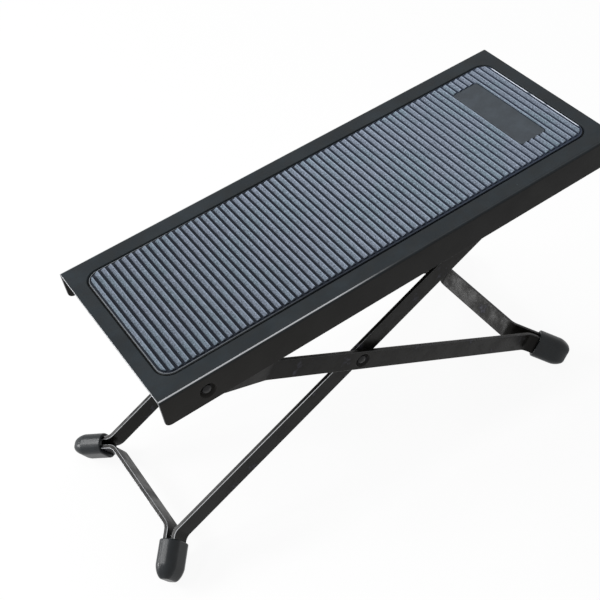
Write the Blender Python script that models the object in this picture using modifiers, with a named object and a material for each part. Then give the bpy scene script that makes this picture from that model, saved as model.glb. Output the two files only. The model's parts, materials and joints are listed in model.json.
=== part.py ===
"""Folding footrest with a sloping, height-adjustable platform.

A pressed steel platform carries a ribbed rubber mat. It stands on two U-shaped frames of
flat strap that cross like scissors. The outer frame swings on rivets in the platform's
flanges. The inner frame swings on rivets in the outer frame, and its upper ends hold a
cross rod that runs in a pair of notched rack rails under the platform.

Lengths are in metres. X runs along the platform, Y across it, +Z is up. The platform is
built level about the middle of its top face, each leg frame about its own pivot axis, and
the whole is then tilted and set on the floor by its four feet.
"""

import math

import bmesh
import bpy
from mathutils import Matrix, Vector

# Platform sheet
PLATFORM_LENGTH = 0.3000
PLATFORM_WIDTH = 0.1133
FLANGE_DEPTH = 0.0197
SHEET = 0.0012
BEND_RADIUS = 0.0020
FLANGE_CORNER = 0.0036

# Recess pressed into the platform for the mat
RECESS_END_MARGIN = 0.0080
RECESS_SIDE_MARGIN = 0.01065
RECESS_CORNER = 0.0092
RECESS_DEPTH = 0.0016
RECESS_LIP = 0.0004
RECESS_WALL_RUN = 0.0011

# Mat
MAT_PLAY = 0.0004
MAT_BASE = 0.0009
MAT_BORDER_WIDTH = 0.0007
MAT_BORDER_RISE = 0.00035
BORDER_ROUND_SHARE = 0.2
MAT_GROOVE = 0.0006
RIB_PITCH = 0.004225
RIB_RISE = 0.0015
FIRST_RIB_SHARE = 0.65
RIB_PROFILE_SHARES = (
    (0.14, 0.0),
    (0.19, 0.36),
    (0.40, 0.66),
    (0.62, 0.92),
    (0.73, 1.0),
    (0.82, 0.90),
    (0.86, 0.0),
)

# Smooth panel moulded near the mat's right end
PANEL_FROM_CENTRE = 0.1140
PANEL_OFF_AXIS = 0.0018
PANEL_LENGTH = 0.0188
PANEL_WIDTH = 0.0610
PANEL_CORNER = 0.0022
PANEL_RISE = 0.0007
PANEL_GROOVE = 0.0004
PANEL_EDGE_ROUND = 0.0002

# Pivot of the outer frame in the platform's flanges
PIVOT_FROM_END = 0.0259
PIVOT_DEPTH = 0.0110

# Strap of both frames
STRAP_WIDTH = 0.0130
STRAP = 0.0025
STRAP_EDGE_ROUND = 0.0005
STRAP_BEND = 0.0075
JOGGLE_BEND = 0.0140
EAR_ANGLE = math.radians(44.5)
EAR_HALF_GAP = 0.0016
EAR_END_PLAY = 0.0009

# Outer frame, measured from its pivot along the legs
OUTER_FACE = 0.0472
SCISSOR_TO_OUTER_BAR = 0.1484
OUTER_BAR_TO_CAP = 0.0115
OUTER_CAP_SPREAD = 0.0487
JOGGLE_START = 0.0150
JOGGLE_END = 0.0460

# Inner frame, measured from the scissor pivot along the legs
FRAME_PLAY = 0.0021
SCISSOR_TO_INNER_BAR = 0.1468
INNER_BAR_TO_CAP = 0.0040
INNER_CAP_SPREAD = 0.0425

# Pressed dimples round the pivots
FLANGE_DIMPLE_RADIUS = 0.0050
FLANGE_DIMPLE_DEPTH = 0.0020
STRAP_DIMPLE_RADIUS = 0.0050
DIMPLE_FLOOR_SHARE = 0.70
DIMPLE_LIP = 0.0004
BUMP_FOOT = 0.0006

# Rivets and their washers
SHANK_RADIUS = 0.0020
HOLE_PLAY = 0.00015
HEAD_RADIUS = 0.0029
HEAD_RISE = 0.0016
TAIL_RADIUS = 0.0031
TAIL_RISE = 0.0013
TAIL_PROFILE_SHARES = ((1.0, 0.0), (0.9, 0.6), (0.5, 1.0), (0.0, 1.0))
WASHER_RADIUS = 0.0043
WASHER = 0.0008

# Cross rod
ROD_RADIUS = 0.0025
ROD_NECK_RADIUS = 0.0019
ROD_HEAD_RADIUS = 0.0034
ROD_HEAD = 0.0010
ROD_HEAD_FLAT_SHARE = 0.70
ROD_HEAD_EDGE_SHARE = 0.55
ROD_DEPTH = 0.0130

# Rack rails. The scissor pivot splits the reach of the upper legs laid flat.
ROD_FOLDED_FROM_END = 0.0141
SCISSOR_REACH_SHARE = 0.4415
REST_NOTCH_FROM_END = 0.0453
NOTCH_PITCH = 0.0120
NOTCHES_RAISING = 2
NOTCH_RISE = 0.0028
NOTCH_PLAY = 0.0002
SLOT_PLAY = 0.00045
RAIL_SHEET = 0.0015
RAIL_BEND = 0.0022
RAIL_TAB = 0.0110
RAIL_END_RUN = 0.0070
RAIL_RIM = 0.0030
RAIL_CORNER = 0.0030
RAIL_TO_STRAP = 0.0016
WELD_RADIUS = 0.0020
WELD_SINK = 0.0003
WELD_END_RUN = 0.0100

# Rubber foot caps
CAP_LENGTH = 0.0226
CAP_HEIGHT = 0.0184
CAP_THICKNESS = 0.0133
CAP_CORNER = 0.0045
CAP_TIP_RUN = 0.0080
CAP_TIP_INSET = 0.0042
CAP_TIP_SHARES = ((0.0, 0.0), (0.24, 0.11), (0.59, 0.41), (0.89, 0.76), (1.0, 1.0))
CAP_RIM_ROUND = 0.0008
CAP_RIM_SHARE = 0.33
CAP_POCKET_CORNER = 0.0010
CAP_END_WALL = 0.0050
FLOOR_FLAT = 0.00045

# Clearance between pieces that bear on each other
SEAT = 0.0003

# Folding
FOLD_RANGE = math.radians(28.2)
INNER_TURN_SHARE = 0.755
STEEPEST_STAND = math.radians(22)

# Working allowances of the cutting tools
CUT_OVER = 0.0010
EMBED_SHARE = 0.45

# Steps on curved outlines
ROUND_STEPS = 24
CORNER_STEPS = 7
BEND_STEPS = 4
FOLD_STEPS = 8
END_STEPS = 6
CAP_STEPS = 5
PATH_STEPS = 40
SOLVE_STEPS = 60
MERGE = 0.00001
SMOOTH_ANGLE = math.radians(35)
BEVEL_ANGLE = math.radians(60)
QUARTER = math.pi / 2

# Derived sizes
HALF_LENGTH = PLATFORM_LENGTH / 2
HALF_WIDTH = PLATFORM_WIDTH / 2
HALF_STRAP = STRAP_WIDTH / 2
PIVOT = Vector((PIVOT_FROM_END - HALF_LENGTH, -PIVOT_DEPTH))
ROD = Vector((HALF_LENGTH - REST_NOTCH_FROM_END, -ROD_DEPTH))
UPPER_REACH = PLATFORM_LENGTH - PIVOT_FROM_END - ROD_FOLDED_FROM_END
PIVOT_TO_SCISSOR = UPPER_REACH * SCISSOR_REACH_SHARE
SCISSOR_TO_ROD = UPPER_REACH - PIVOT_TO_SCISSOR
INNER_FACE = OUTER_FACE - STRAP - FRAME_PLAY
FLANGE_INNER = HALF_WIDTH - SHEET
PIVOT_FACE = FLANGE_INNER - FLANGE_DIMPLE_DEPTH - SEAT
STRAP_DIMPLE_DEPTH = FRAME_PLAY - SEAT
EAR_OFFSET = EAR_HALF_GAP + STRAP / 2
EAR_DEPTH = CAP_LENGTH - CAP_END_WALL - EAR_END_PLAY
HOLE_RADIUS = SHANK_RADIUS + HOLE_PLAY
RAIL_OUTER = INNER_FACE - STRAP - RAIL_TO_STRAP

ALONG_Y = Matrix.Rotation(QUARTER, 4, "X")
ALONG_X = Matrix(((0, 0, 1, 0), (1, 0, 0, 0), (0, 1, 0, 0), (0, 0, 0, 1)))
TO_FAR = -QUARTER
TO_NEAR = QUARTER


def clear_scene():
    """Empty the startup scene."""
    for item in list(bpy.data.objects):
        bpy.data.objects.remove(item, do_unlink=True)


def make_collection(name):
    """Link a new collection into the scene."""
    collection = bpy.data.collections.new(name)
    bpy.context.scene.collection.children.link(collection)
    return collection


def make_material(name, colour, roughness, metallic):
    """A Principled material with the piece's own colour and sheen."""
    material = bpy.data.materials.new(name)
    material.use_nodes = True
    shader = material.node_tree.nodes["Principled BSDF"]
    shader.inputs["Base Color"].default_value = (*colour, 1)
    shader.inputs["Roughness"].default_value = roughness
    shader.inputs["Metallic"].default_value = metallic
    material.diffuse_color = (*colour, 1)
    return material


class Shop:
    """Holds the two collections and makes objects in them."""

    def __init__(self):
        self.parts = make_collection("guitar_footrest")
        self.tools = make_collection("cutting_tools")

    def add(self, name, data, parent, tool=False):
        """Link an object, as a visible part or as a hidden tool."""
        item = bpy.data.objects.new(name, data)
        item.parent = parent
        if tool:
            self.tools.objects.link(item)
            item.hide_render = True
            item.display_type = "WIRE"
        else:
            self.parts.objects.link(item)
        return item

    def axis(self, name, parent, location, turn):
        """An empty that stands on a pivot axis, turned about Y."""
        item = self.add(name, None, parent)
        item.empty_display_size = PIVOT_DEPTH
        item.location = location
        item.rotation_euler = (0, turn, 0)
        return item


def finish_mesh(mesh):
    """Weld, turn the faces outward and shade a mesh."""
    work = bmesh.new()
    work.from_mesh(mesh)
    bmesh.ops.remove_doubles(work, verts=work.verts, dist=MERGE)
    bmesh.ops.recalc_face_normals(work, faces=work.faces)
    work.to_mesh(mesh)
    work.free()
    mesh.shade_smooth()
    mesh.set_sharp_from_angle(angle=SMOOTH_ANGLE)


def lofted(shop, name, loops, parent, tool=False):
    """A closed body through equal loops of points, capped at both ends."""
    mesh = bpy.data.meshes.new(name)
    work = bmesh.new()
    rings = []
    for loop in loops:
        rings.append([work.verts.new(point) for point in loop])
    for lower, upper in zip(rings, rings[1:]):
        for index in range(len(lower)):
            work.faces.new((lower[index - 1], lower[index], upper[index], upper[index - 1]))
    work.faces.new(rings[0])
    work.faces.new(rings[-1])
    work.to_mesh(mesh)
    work.free()
    finish_mesh(mesh)
    return shop.add(name, mesh, parent, tool)


def flat_outline(shop, name, outline, half, basis, parent, tool=False):
    """A plate cut to a closed outline, half its thickness to each side, then stood up."""
    curve = bpy.data.curves.new(name + "_outline", "CURVE")
    curve.dimensions = "2D"
    curve.fill_mode = "BOTH"
    curve.extrude = half
    spline = curve.splines.new("POLY")
    spline.points.add(len(outline) - 1)
    for point, place in zip(spline.points, outline):
        point.co = (place[0], place[1], 0, 1)
    spline.use_cyclic_u = True
    source = bpy.data.objects.new(name + "_outline", curve)
    shop.tools.objects.link(source)
    mesh = bpy.data.meshes.new_from_object(source)
    mesh.name = name
    bpy.data.objects.remove(source, do_unlink=True)
    mesh.transform(basis)
    finish_mesh(mesh)
    return shop.add(name, mesh, parent, tool)


def turned(shop, name, profile, parent, turn, tool=False, ring=False):
    """A body of revolution. The profile lists (radius, distance along the axis), top to bottom."""
    mesh = bpy.data.meshes.new(name)
    points = [(radius, 0, height) for radius, height in profile]
    edges = [(index, index + 1) for index in range(len(points) - 1)]
    if ring:
        edges.append((len(points) - 1, 0))
    mesh.from_pydata(points, edges, [])
    item = shop.add(name, mesh, parent, tool)
    item.rotation_euler = (turn, 0, 0)
    screw = item.modifiers.new("turn", "SCREW")
    screw.steps = ROUND_STEPS
    screw.render_steps = ROUND_STEPS
    screw.use_merge_vertices = True
    screw.merge_threshold = MERGE
    screw.use_smooth_shade = True
    return item


def boolean(item, name, operation, tool):
    """An exact Boolean modifier."""
    modifier = item.modifiers.new(name, "BOOLEAN")
    modifier.operation = operation
    modifier.solver = "EXACT"
    modifier.object = tool


def mirror_across(item, centre):
    """Repeat an object on the other side of the long centre plane."""
    mirror = item.modifiers.new("other_side", "MIRROR")
    mirror.use_axis = (False, True, False)
    mirror.mirror_object = centre
    mirror.use_mirror_merge = False


def rounded_rectangle(half_x, half_y, radius, centre=(0, 0), steps=CORNER_STEPS):
    """Outline points of a rectangle with round corners."""
    points = []
    for side_x, side_y, start in ((1, 1, 0), (-1, 1, 1), (-1, -1, 2), (1, -1, 3)):
        for step in range(steps + 1):
            angle = (start + step / steps) * QUARTER
            points.append(
                (
                    centre[0] + side_x * (half_x - radius) + radius * math.cos(angle),
                    centre[1] + side_y * (half_y - radius) + radius * math.sin(angle),
                )
            )
    return points


def rounded_loop(half_x, half_y, radius, height, centre=(0, 0)):
    """The same outline as a level loop."""
    return [(x, y, height) for x, y in rounded_rectangle(half_x, half_y, radius, centre)]


def arc(centre, radius, start, stop, steps):
    """Points on an arc, both ends included."""
    points = []
    for step in range(steps + 1):
        angle = start + (stop - start) * step / steps
        points.append(Vector(centre) + radius * Vector((math.cos(angle), math.sin(angle))))
    return points


def rounded_path(corners):
    """A line through (x, y, bend radius) corners, bent at each inner one."""
    points = [Vector(corners[0][:2])]
    for before, corner, after in zip(corners, corners[1:], corners[2:]):
        vertex = Vector(corner[:2])
        radius = corner[2]
        incoming = (vertex - Vector(before[:2])).normalized()
        outgoing = (Vector(after[:2]) - vertex).normalized()
        cross = incoming.x * outgoing.y - incoming.y * outgoing.x
        turn = math.atan2(cross, incoming.dot(outgoing))
        start = vertex - incoming * radius * math.tan(abs(turn) / 2)
        centre = start + Vector((-incoming.y, incoming.x)) * math.copysign(radius, turn)
        for step in range(BEND_STEPS + 1):
            spin = Matrix.Rotation(turn * step / BEND_STEPS, 2)
            points.append(centre + spin @ (start - centre))
    points.append(Vector(corners[-1][:2]))
    return points


def linkage_at_rest():
    """Angles of the outer and inner legs below and above the platform's line, from the triangle."""
    reach = ROD - PIVOT
    span = reach.length
    slope = math.atan2(-reach.y, reach.x)
    at_pivot = (PIVOT_TO_SCISSOR**2 + span**2 - SCISSOR_TO_ROD**2) / (2 * PIVOT_TO_SCISSOR * span)
    outer = slope + math.acos(at_pivot)
    scissor = PIVOT + PIVOT_TO_SCISSOR * Vector((math.cos(outer), -math.sin(outer)))
    up = ROD - scissor
    return outer, math.atan2(up.y, up.x)


def rod_place(fold):
    """Where the rod stands in the platform when the outer leg is folded up by an angle."""
    outer, inner = linkage_at_rest()
    outer -= fold
    inner -= fold * INNER_TURN_SHARE
    scissor = PIVOT + PIVOT_TO_SCISSOR * Vector((math.cos(outer), -math.sin(outer)))
    return scissor + SCISSOR_TO_ROD * Vector((math.cos(inner), math.sin(inner)))


def raise_range():
    """The fold angle, below zero, at which the rod reaches the notch nearest the pivot."""
    target = ROD.x - NOTCHES_RAISING * NOTCH_PITCH
    low, high = -FOLD_RANGE, 0.0
    for _ in range(SOLVE_STEPS):
        middle = (low + high) / 2
        if rod_place(middle).x < target:
            low = middle
        else:
            high = middle
    return high


def rod_path():
    """Sampled places of the rod from the raised to the folded end."""
    first = raise_range()
    turn = (FOLD_RANGE - first) / PATH_STEPS
    return [rod_place(first + turn * step) for step in range(PATH_STEPS + 1)]


def path_height(path, along):
    """Height of the rod's path at a place along the platform."""
    for before, after in zip(path, path[1:]):
        if before.x <= along <= after.x:
            share = (along - before.x) / (after.x - before.x)
            return before.y + share * (after.y - before.y)
    return path[0].y if along < path[0].x else path[-1].y


def slot_outline(path):
    """Closed outline of the rack slot: a plain lower edge, and as many notches above as fit."""
    reach = ROD_RADIUS + SLOT_PLAY
    seat = ROD_RADIUS + NOTCH_PLAY
    outline = []
    for point in path:
        outline.append((point.x, point.y - reach))
    outline += [(p.x, p.y) for p in arc(path[-1], reach, -QUARTER, QUARTER, 2 * BEND_STEPS)[1:]]
    lowering = int((path[-1].x - seat - ROD.x) / NOTCH_PITCH)
    for step in range(lowering, -NOTCHES_RAISING - 1, -1):
        along = ROD.x + step * NOTCH_PITCH
        base = path_height(path, along)
        centre = (along, base + NOTCH_RISE)
        slope_start = 3 * QUARTER / 2
        crown = arc(centre, seat, 0, slope_start, 2 * BEND_STEPS)
        drop = crown[-1].y - (base + reach)
        outline.append((along + seat, base + reach))
        outline += [(p.x, p.y) for p in crown]
        outline.append((crown[-1].x - drop, base + reach))
    first = path[0]
    closing = arc(first, reach, 2 * QUARTER, 3 * QUARTER, BEND_STEPS)[:-1]
    outline += [(p.x, p.y) for p in closing]
    return outline


def strap_stations(corners, top, bar_place, spread, leg_line):
    """Middle line of half a frame as (x, y, half width), from the round upper end to the bar."""
    along = Vector((math.cos(EAR_ANGLE), math.sin(EAR_ANGLE)))
    aside = Vector((-along.y, along.x))
    mouth = Vector((bar_place[0] + bar_place[1], spread))
    leg_side = mouth + aside * EAR_OFFSET
    bar_side = mouth - aside * EAR_OFFSET
    ear_bend = leg_side + along * ((leg_line - leg_side.y) / along.y)
    bar_bend = bar_side + along * ((bar_place[0] - bar_side.x) / along.x)
    fold_centre = mouth + along * (EAR_DEPTH - EAR_OFFSET - STRAP / 2)
    fold_start = fold_centre + aside * EAR_OFFSET
    fold_end = fold_centre - aside * EAR_OFFSET
    down = rounded_path(corners + [(*ear_bend, STRAP_BEND), tuple(fold_start)])
    fold = arc(fold_centre, EAR_OFFSET, EAR_ANGLE + QUARTER, EAR_ANGLE - QUARTER, FOLD_STEPS)
    back = rounded_path([tuple(fold_end), (*bar_bend, STRAP_BEND), (bar_place[0], 0)])
    stations = []
    for step in range(1, END_STEPS):
        angle = QUARTER * step / END_STEPS
        end = top - HALF_STRAP * math.cos(angle)
        stations.append((end, corners[0][1], HALF_STRAP * math.sin(angle)))
    for point in down + fold[1:-1] + back:
        stations.append((point.x, point.y, HALF_STRAP))
    return stations


def strap_frame(shop, name, stations, sign, parent):
    """A U-shaped frame bent from one strap, from the middle line of its far half."""
    mesh = bpy.data.meshes.new(name)
    points = []
    for along, across, half in stations:
        points.append((sign * along, across, -half))
        points.append((sign * along, across, half))
    faces = [(i, i + 1, i + 3, i + 2) for i in range(0, len(points) - 2, 2)]
    mesh.from_pydata(points, [], faces)
    finish_mesh(mesh)
    item = shop.add(name, mesh, parent)
    mirror = item.modifiers.new("near_half", "MIRROR")
    mirror.use_axis = (False, True, False)
    mirror.merge_threshold = MERGE
    thick = item.modifiers.new("strap", "SOLIDIFY")
    thick.thickness = STRAP
    thick.offset = 0
    thick.use_even_offset = True
    thick.use_quality_normals = True
    rounding = item.modifiers.new("edge_round", "BEVEL")
    rounding.width = STRAP_EDGE_ROUND
    rounding.segments = 2
    rounding.limit_method = "ANGLE"
    rounding.angle_limit = BEVEL_ANGLE
    return item


def through_hole(shop, name, radius, parent, place):
    """A cutter that drills both sides of a frame or of the platform."""
    reach = HALF_WIDTH + CUT_OVER
    profile = [(0, reach), (radius, reach), (radius, -reach), (0, -reach)]
    item = turned(shop, name, profile, parent, TO_FAR, tool=True)
    item.location = place
    return item


def dimple_tools(shop, name, parent, place, face, thickness, radius, depth):
    """The pressed-in bump and the dish with its rivet hole, on both sides of a frame."""
    inner = face - thickness
    floor = radius * DIMPLE_FLOOR_SHARE
    embed = thickness * EMBED_SHARE
    bump_profile = [
        (0, inner + embed),
        (radius + BUMP_FOOT, inner + embed),
        (radius + BUMP_FOOT, inner),
        (floor + BUMP_FOOT, inner - depth),
        (0, inner - depth),
    ]
    dish_profile = [
        (0, face + CUT_OVER),
        (radius + DIMPLE_LIP, face + CUT_OVER),
        (radius + DIMPLE_LIP, face),
        (radius, face - DIMPLE_LIP / 2),
        (floor, face - depth),
        (HOLE_RADIUS, face - depth),
        (HOLE_RADIUS, inner - depth - CUT_OVER),
        (0, inner - depth - CUT_OVER),
    ]
    tools = []
    for label, profile in (("_bump", bump_profile), ("_dish", dish_profile)):
        item = turned(shop, name + label, profile, parent, TO_FAR, tool=True)
        item.location = place
        mirror_across(item, parent)
        tools.append(item)
    return tools


def recess_loop(grow, height):
    """The recess outline, grown or shrunk evenly, as a level loop."""
    half_x = HALF_LENGTH - RECESS_END_MARGIN + grow
    half_y = HALF_WIDTH - RECESS_SIDE_MARGIN + grow
    return rounded_loop(half_x, half_y, RECESS_CORNER + grow, height)


def build_platform(shop, frame):
    """Channel-shaped platform with round flange corners, mat recess and pivot dimples."""
    inner_radius = BEND_RADIUS - SHEET
    bend = (HALF_WIDTH - BEND_RADIUS, -BEND_RADIUS)
    side = [(HALF_WIDTH, -FLANGE_DEPTH)]
    side += arc(bend, BEND_RADIUS, 0, QUARTER, BEND_STEPS + 1)
    under = arc(bend, inner_radius, QUARTER, 0, BEND_STEPS + 1)
    under.append(Vector((FLANGE_INNER, -FLANGE_DEPTH)))
    far = [tuple(point) for point in side]
    far_under = [tuple(point) for point in under]
    outline = far + [(-y, z) for y, z in reversed(far)]
    outline += [(-y, z) for y, z in reversed(far_under)] + far_under
    platform = flat_outline(shop, "platform", outline, HALF_LENGTH, ALONG_X, frame)

    corner = (HALF_LENGTH - FLANGE_CORNER, FLANGE_CORNER - FLANGE_DEPTH)
    right = [(HALF_LENGTH, SHEET)]
    right += [tuple(point) for point in arc(corner, FLANGE_CORNER, 0, -QUARTER, CORNER_STEPS)]
    side_view = right + [(-x, z) for x, z in reversed(right)]
    reach = HALF_WIDTH + CUT_OVER
    side_tool = flat_outline(shop, "flange_corners", side_view, reach, ALONG_Y, frame, tool=True)
    boolean(platform, "flange_corners", "INTERSECT", side_tool)

    pan_loops = [
        recess_loop(SHEET, -SHEET * EMBED_SHARE),
        recess_loop(SHEET, -SHEET - RECESS_LIP),
        recess_loop(SHEET - RECESS_WALL_RUN + RECESS_LIP, -RECESS_DEPTH - SHEET + RECESS_LIP / 2),
        recess_loop(SHEET - RECESS_WALL_RUN, -RECESS_DEPTH - SHEET),
    ]
    pan = lofted(shop, "recess_pan", pan_loops, frame, tool=True)
    boolean(platform, "recess_pan", "UNION", pan)
    dish_loops = [
        recess_loop(RECESS_LIP, CUT_OVER),
        recess_loop(RECESS_LIP, 0),
        recess_loop(0, -RECESS_LIP / 2),
        recess_loop(RECESS_LIP / 2 - RECESS_WALL_RUN, -RECESS_DEPTH + RECESS_LIP / 2),
        recess_loop(-RECESS_WALL_RUN, -RECESS_DEPTH),
    ]
    dish = lofted(shop, "recess_dish", dish_loops, frame, tool=True)
    boolean(platform, "recess_dish", "DIFFERENCE", dish)

    place = (PIVOT.x, 0, PIVOT.y)
    bump, hollow = dimple_tools(
        shop, "flange_dimple", frame, place, HALF_WIDTH, SHEET, FLANGE_DIMPLE_RADIUS, FLANGE_DIMPLE_DEPTH
    )
    boolean(platform, "dimple_bump", "UNION", bump)
    boolean(platform, "dimple_dish", "DIFFERENCE", hollow)
    return platform


def build_mat(shop, frame):
    """Rubber mat: thin base with a raised border, cross ribs and one smooth panel."""
    half_x = HALF_LENGTH - RECESS_END_MARGIN - RECESS_WALL_RUN - MAT_PLAY
    half_y = HALF_WIDTH - RECESS_SIDE_MARGIN - RECESS_WALL_RUN - MAT_PLAY
    corner = RECESS_CORNER - RECESS_WALL_RUN - MAT_PLAY
    bottom = SEAT - RECESS_DEPTH
    top = bottom + MAT_BASE

    def loop(inset, height):
        return rounded_loop(half_x - inset, half_y - inset, corner - inset, height)

    crest = top + MAT_BORDER_RISE
    rounding = MAT_BORDER_WIDTH * BORDER_ROUND_SHARE
    base_loops = [
        loop(0, bottom),
        loop(0, crest - rounding),
        loop(rounding, crest),
        loop(MAT_BORDER_WIDTH - rounding, crest),
        loop(MAT_BORDER_WIDTH, top),
    ]
    mat = lofted(shop, "rubber_mat", base_loops, frame)

    inset = MAT_BORDER_WIDTH + MAT_GROOVE
    field_x = half_x - inset
    root = top - MAT_BASE * EMBED_SHARE
    outline = [(-field_x - RIB_PITCH, root)]
    start = -field_x + RIB_PITCH * (FIRST_RIB_SHARE - 1)
    count = int((field_x - start) / RIB_PITCH)
    for index in range(count):
        for along, rise in RIB_PROFILE_SHARES:
            outline.append((start + (index + along) * RIB_PITCH, top + rise * RIB_RISE))
    outline.append((field_x + RIB_PITCH, top))
    outline.append((field_x + RIB_PITCH, root))
    outline.insert(1, (-field_x - RIB_PITCH, top))
    comb = flat_outline(shop, "mat_ribs", outline, half_y, ALONG_Y, frame, tool=True)
    field_loops = [loop(inset, bottom), loop(inset, top + RIB_RISE + CUT_OVER)]
    field = lofted(shop, "rib_field", field_loops, frame, tool=True)
    boolean(comb, "field", "INTERSECT", field)

    def panel_loop(grow, height):
        place = (PANEL_FROM_CENTRE, PANEL_OFF_AXIS)
        half_length = PANEL_LENGTH / 2 + grow
        half_width = PANEL_WIDTH / 2 + grow
        return rounded_loop(half_length, half_width, PANEL_CORNER + grow, height, place)

    well_loops = [
        panel_loop(PANEL_GROOVE, root - CUT_OVER),
        panel_loop(PANEL_GROOVE, top + RIB_RISE + CUT_OVER),
    ]
    well = lofted(shop, "panel_well", well_loops, frame, tool=True)
    boolean(comb, "well", "DIFFERENCE", well)
    panel_top = top + PANEL_RISE
    panel_loops = [
        panel_loop(0, root),
        panel_loop(0, panel_top - PANEL_EDGE_ROUND),
        panel_loop(-PANEL_EDGE_ROUND, panel_top),
    ]
    panel = lofted(shop, "panel_pad", panel_loops, frame, tool=True)
    boolean(mat, "ribs", "UNION", comb)
    boolean(mat, "panel", "UNION", panel)
    return mat


def build_rail(shop, name, side, path, frame):
    """One rack rail: an angle section with the notched slot for the cross rod."""
    tab_top = -RECESS_DEPTH - SHEET - SEAT
    rail_left = path[0].x - ROD_RADIUS - RAIL_END_RUN
    rail_right = path[-1].x + ROD_RADIUS + RAIL_END_RUN
    lowest = min(point.y for point in path)
    rail_bottom = lowest - ROD_RADIUS - SLOT_PLAY - RAIL_RIM
    inner_radius = RAIL_BEND - RAIL_SHEET
    bend = (RAIL_OUTER - RAIL_BEND, tab_top - RAIL_BEND)
    outer_arc = [tuple(point) for point in arc(bend, RAIL_BEND, 0, QUARTER, BEND_STEPS)]
    inner_arc = [tuple(point) for point in arc(bend, inner_radius, QUARTER, 0, BEND_STEPS)]
    section = [(RAIL_OUTER, rail_bottom)] + outer_arc
    section.append((RAIL_OUTER - RAIL_TAB, tab_top))
    section.append((RAIL_OUTER - RAIL_TAB, tab_top - RAIL_SHEET))
    section += inner_arc
    section.append((RAIL_OUTER - RAIL_SHEET, rail_bottom))
    half = (rail_right - rail_left) / 2
    middle = (rail_right + rail_left) / 2
    outline = [(side * y, z) for y, z in section]
    stand = Matrix.Translation((middle, 0, 0)) @ ALONG_X
    rail = flat_outline(shop, name, outline, half, stand, frame)

    corner = (half - RAIL_CORNER, rail_bottom + RAIL_CORNER)
    right = [(half, tab_top + CUT_OVER)]
    right += [tuple(point) for point in arc(corner, RAIL_CORNER, 0, -QUARTER, BEND_STEPS)]
    view = [(middle + x, z) for x, z in right] + [(middle - x, z) for x, z in reversed(right)]
    ends = flat_outline(shop, name + "_ends", view, HALF_WIDTH, ALONG_Y, frame, tool=True)
    boolean(rail, "ends", "INTERSECT", ends)
    slot = flat_outline(shop, name + "_slot", slot_outline(path), HALF_WIDTH, ALONG_Y, frame, tool=True)
    boolean(rail, "slot", "DIFFERENCE", slot)

    seam = RAIL_OUTER - (RAIL_TAB + RAIL_BEND) / 2
    for index, shift in enumerate((-1, 0, 1)):
        place = Vector((middle + shift * (half - WELD_END_RUN), side * seam))
        low = tab_top - RAIL_SHEET
        rings = []
        for height in (low - CUT_OVER, low + WELD_SINK):
            ring = arc(place, WELD_RADIUS, 0, 4 * QUARTER, 4 * BEND_STEPS)[:-1]
            rings.append([(point.x, point.y, height) for point in ring])
        weld = lofted(shop, f"{name}_weld_{index}", rings, frame, tool=True)
        boolean(rail, f"weld_{index}", "DIFFERENCE", weld)
    return rail


def build_outer_frame(shop, axis):
    """Outer leg frame: pivots on the platform and carries the inner frame."""
    line = OUTER_FACE - STRAP / 2
    pivot_line = PIVOT_FACE - STRAP / 2
    bar = PIVOT_TO_SCISSOR + SCISSOR_TO_OUTER_BAR
    corners = [
        (0, pivot_line, 0),
        (JOGGLE_START, pivot_line, JOGGLE_BEND),
        (JOGGLE_END, line, JOGGLE_BEND),
    ]
    stations = strap_stations(corners, 0, (bar, OUTER_BAR_TO_CAP), OUTER_CAP_SPREAD, line)
    item = strap_frame(shop, "outer_leg_frame", stations, 1, axis)
    hole = through_hole(shop, "outer_pivot_hole", HOLE_RADIUS, axis, (0, 0, 0))
    boolean(item, "pivot_hole", "DIFFERENCE", hole)
    place = (PIVOT_TO_SCISSOR, 0, 0)
    bump, dish = dimple_tools(
        shop, "strap_dimple", axis, place, OUTER_FACE, STRAP, STRAP_DIMPLE_RADIUS, STRAP_DIMPLE_DEPTH
    )
    boolean(item, "dimple_bump", "UNION", bump)
    boolean(item, "dimple_dish", "DIFFERENCE", dish)
    return item


def build_inner_frame(shop, axis):
    """Inner leg frame: swings on the outer one and carries the cross rod."""
    line = INNER_FACE - STRAP / 2
    corners = [(-SCISSOR_TO_ROD, line, 0)]
    bar_place = (SCISSOR_TO_INNER_BAR, INNER_BAR_TO_CAP)
    stations = strap_stations(corners, -SCISSOR_TO_ROD, bar_place, INNER_CAP_SPREAD, line)
    item = strap_frame(shop, "inner_leg_frame", stations, -1, axis)
    scissor = through_hole(shop, "inner_scissor_hole", HOLE_RADIUS, axis, (0, 0, 0))
    boolean(item, "scissor_hole", "DIFFERENCE", scissor)
    rod_hole = through_hole(shop, "rod_hole", ROD_NECK_RADIUS + HOLE_PLAY, axis, (SCISSOR_TO_ROD, 0, 0))
    boolean(item, "rod_hole", "DIFFERENCE", rod_hole)
    return item


def build_rod(shop, axis):
    """Cross rod with shouldered ends riveted over the inner frame's straps."""
    shoulder = INNER_FACE - STRAP - SEAT
    under_head = INNER_FACE + SEAT
    end = under_head + ROD_HEAD
    half = [
        (0, end),
        (ROD_HEAD_RADIUS * ROD_HEAD_FLAT_SHARE, end),
        (ROD_HEAD_RADIUS, under_head + ROD_HEAD * ROD_HEAD_EDGE_SHARE),
        (ROD_HEAD_RADIUS, under_head),
        (ROD_NECK_RADIUS, under_head),
        (ROD_NECK_RADIUS, shoulder),
        (ROD_RADIUS, shoulder),
    ]
    profile = half + [(radius, -along) for radius, along in reversed(half)]
    rod = turned(shop, "height_rod", profile, axis, TO_FAR)
    rod.location = (SCISSOR_TO_ROD, 0, 0)
    return rod


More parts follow.
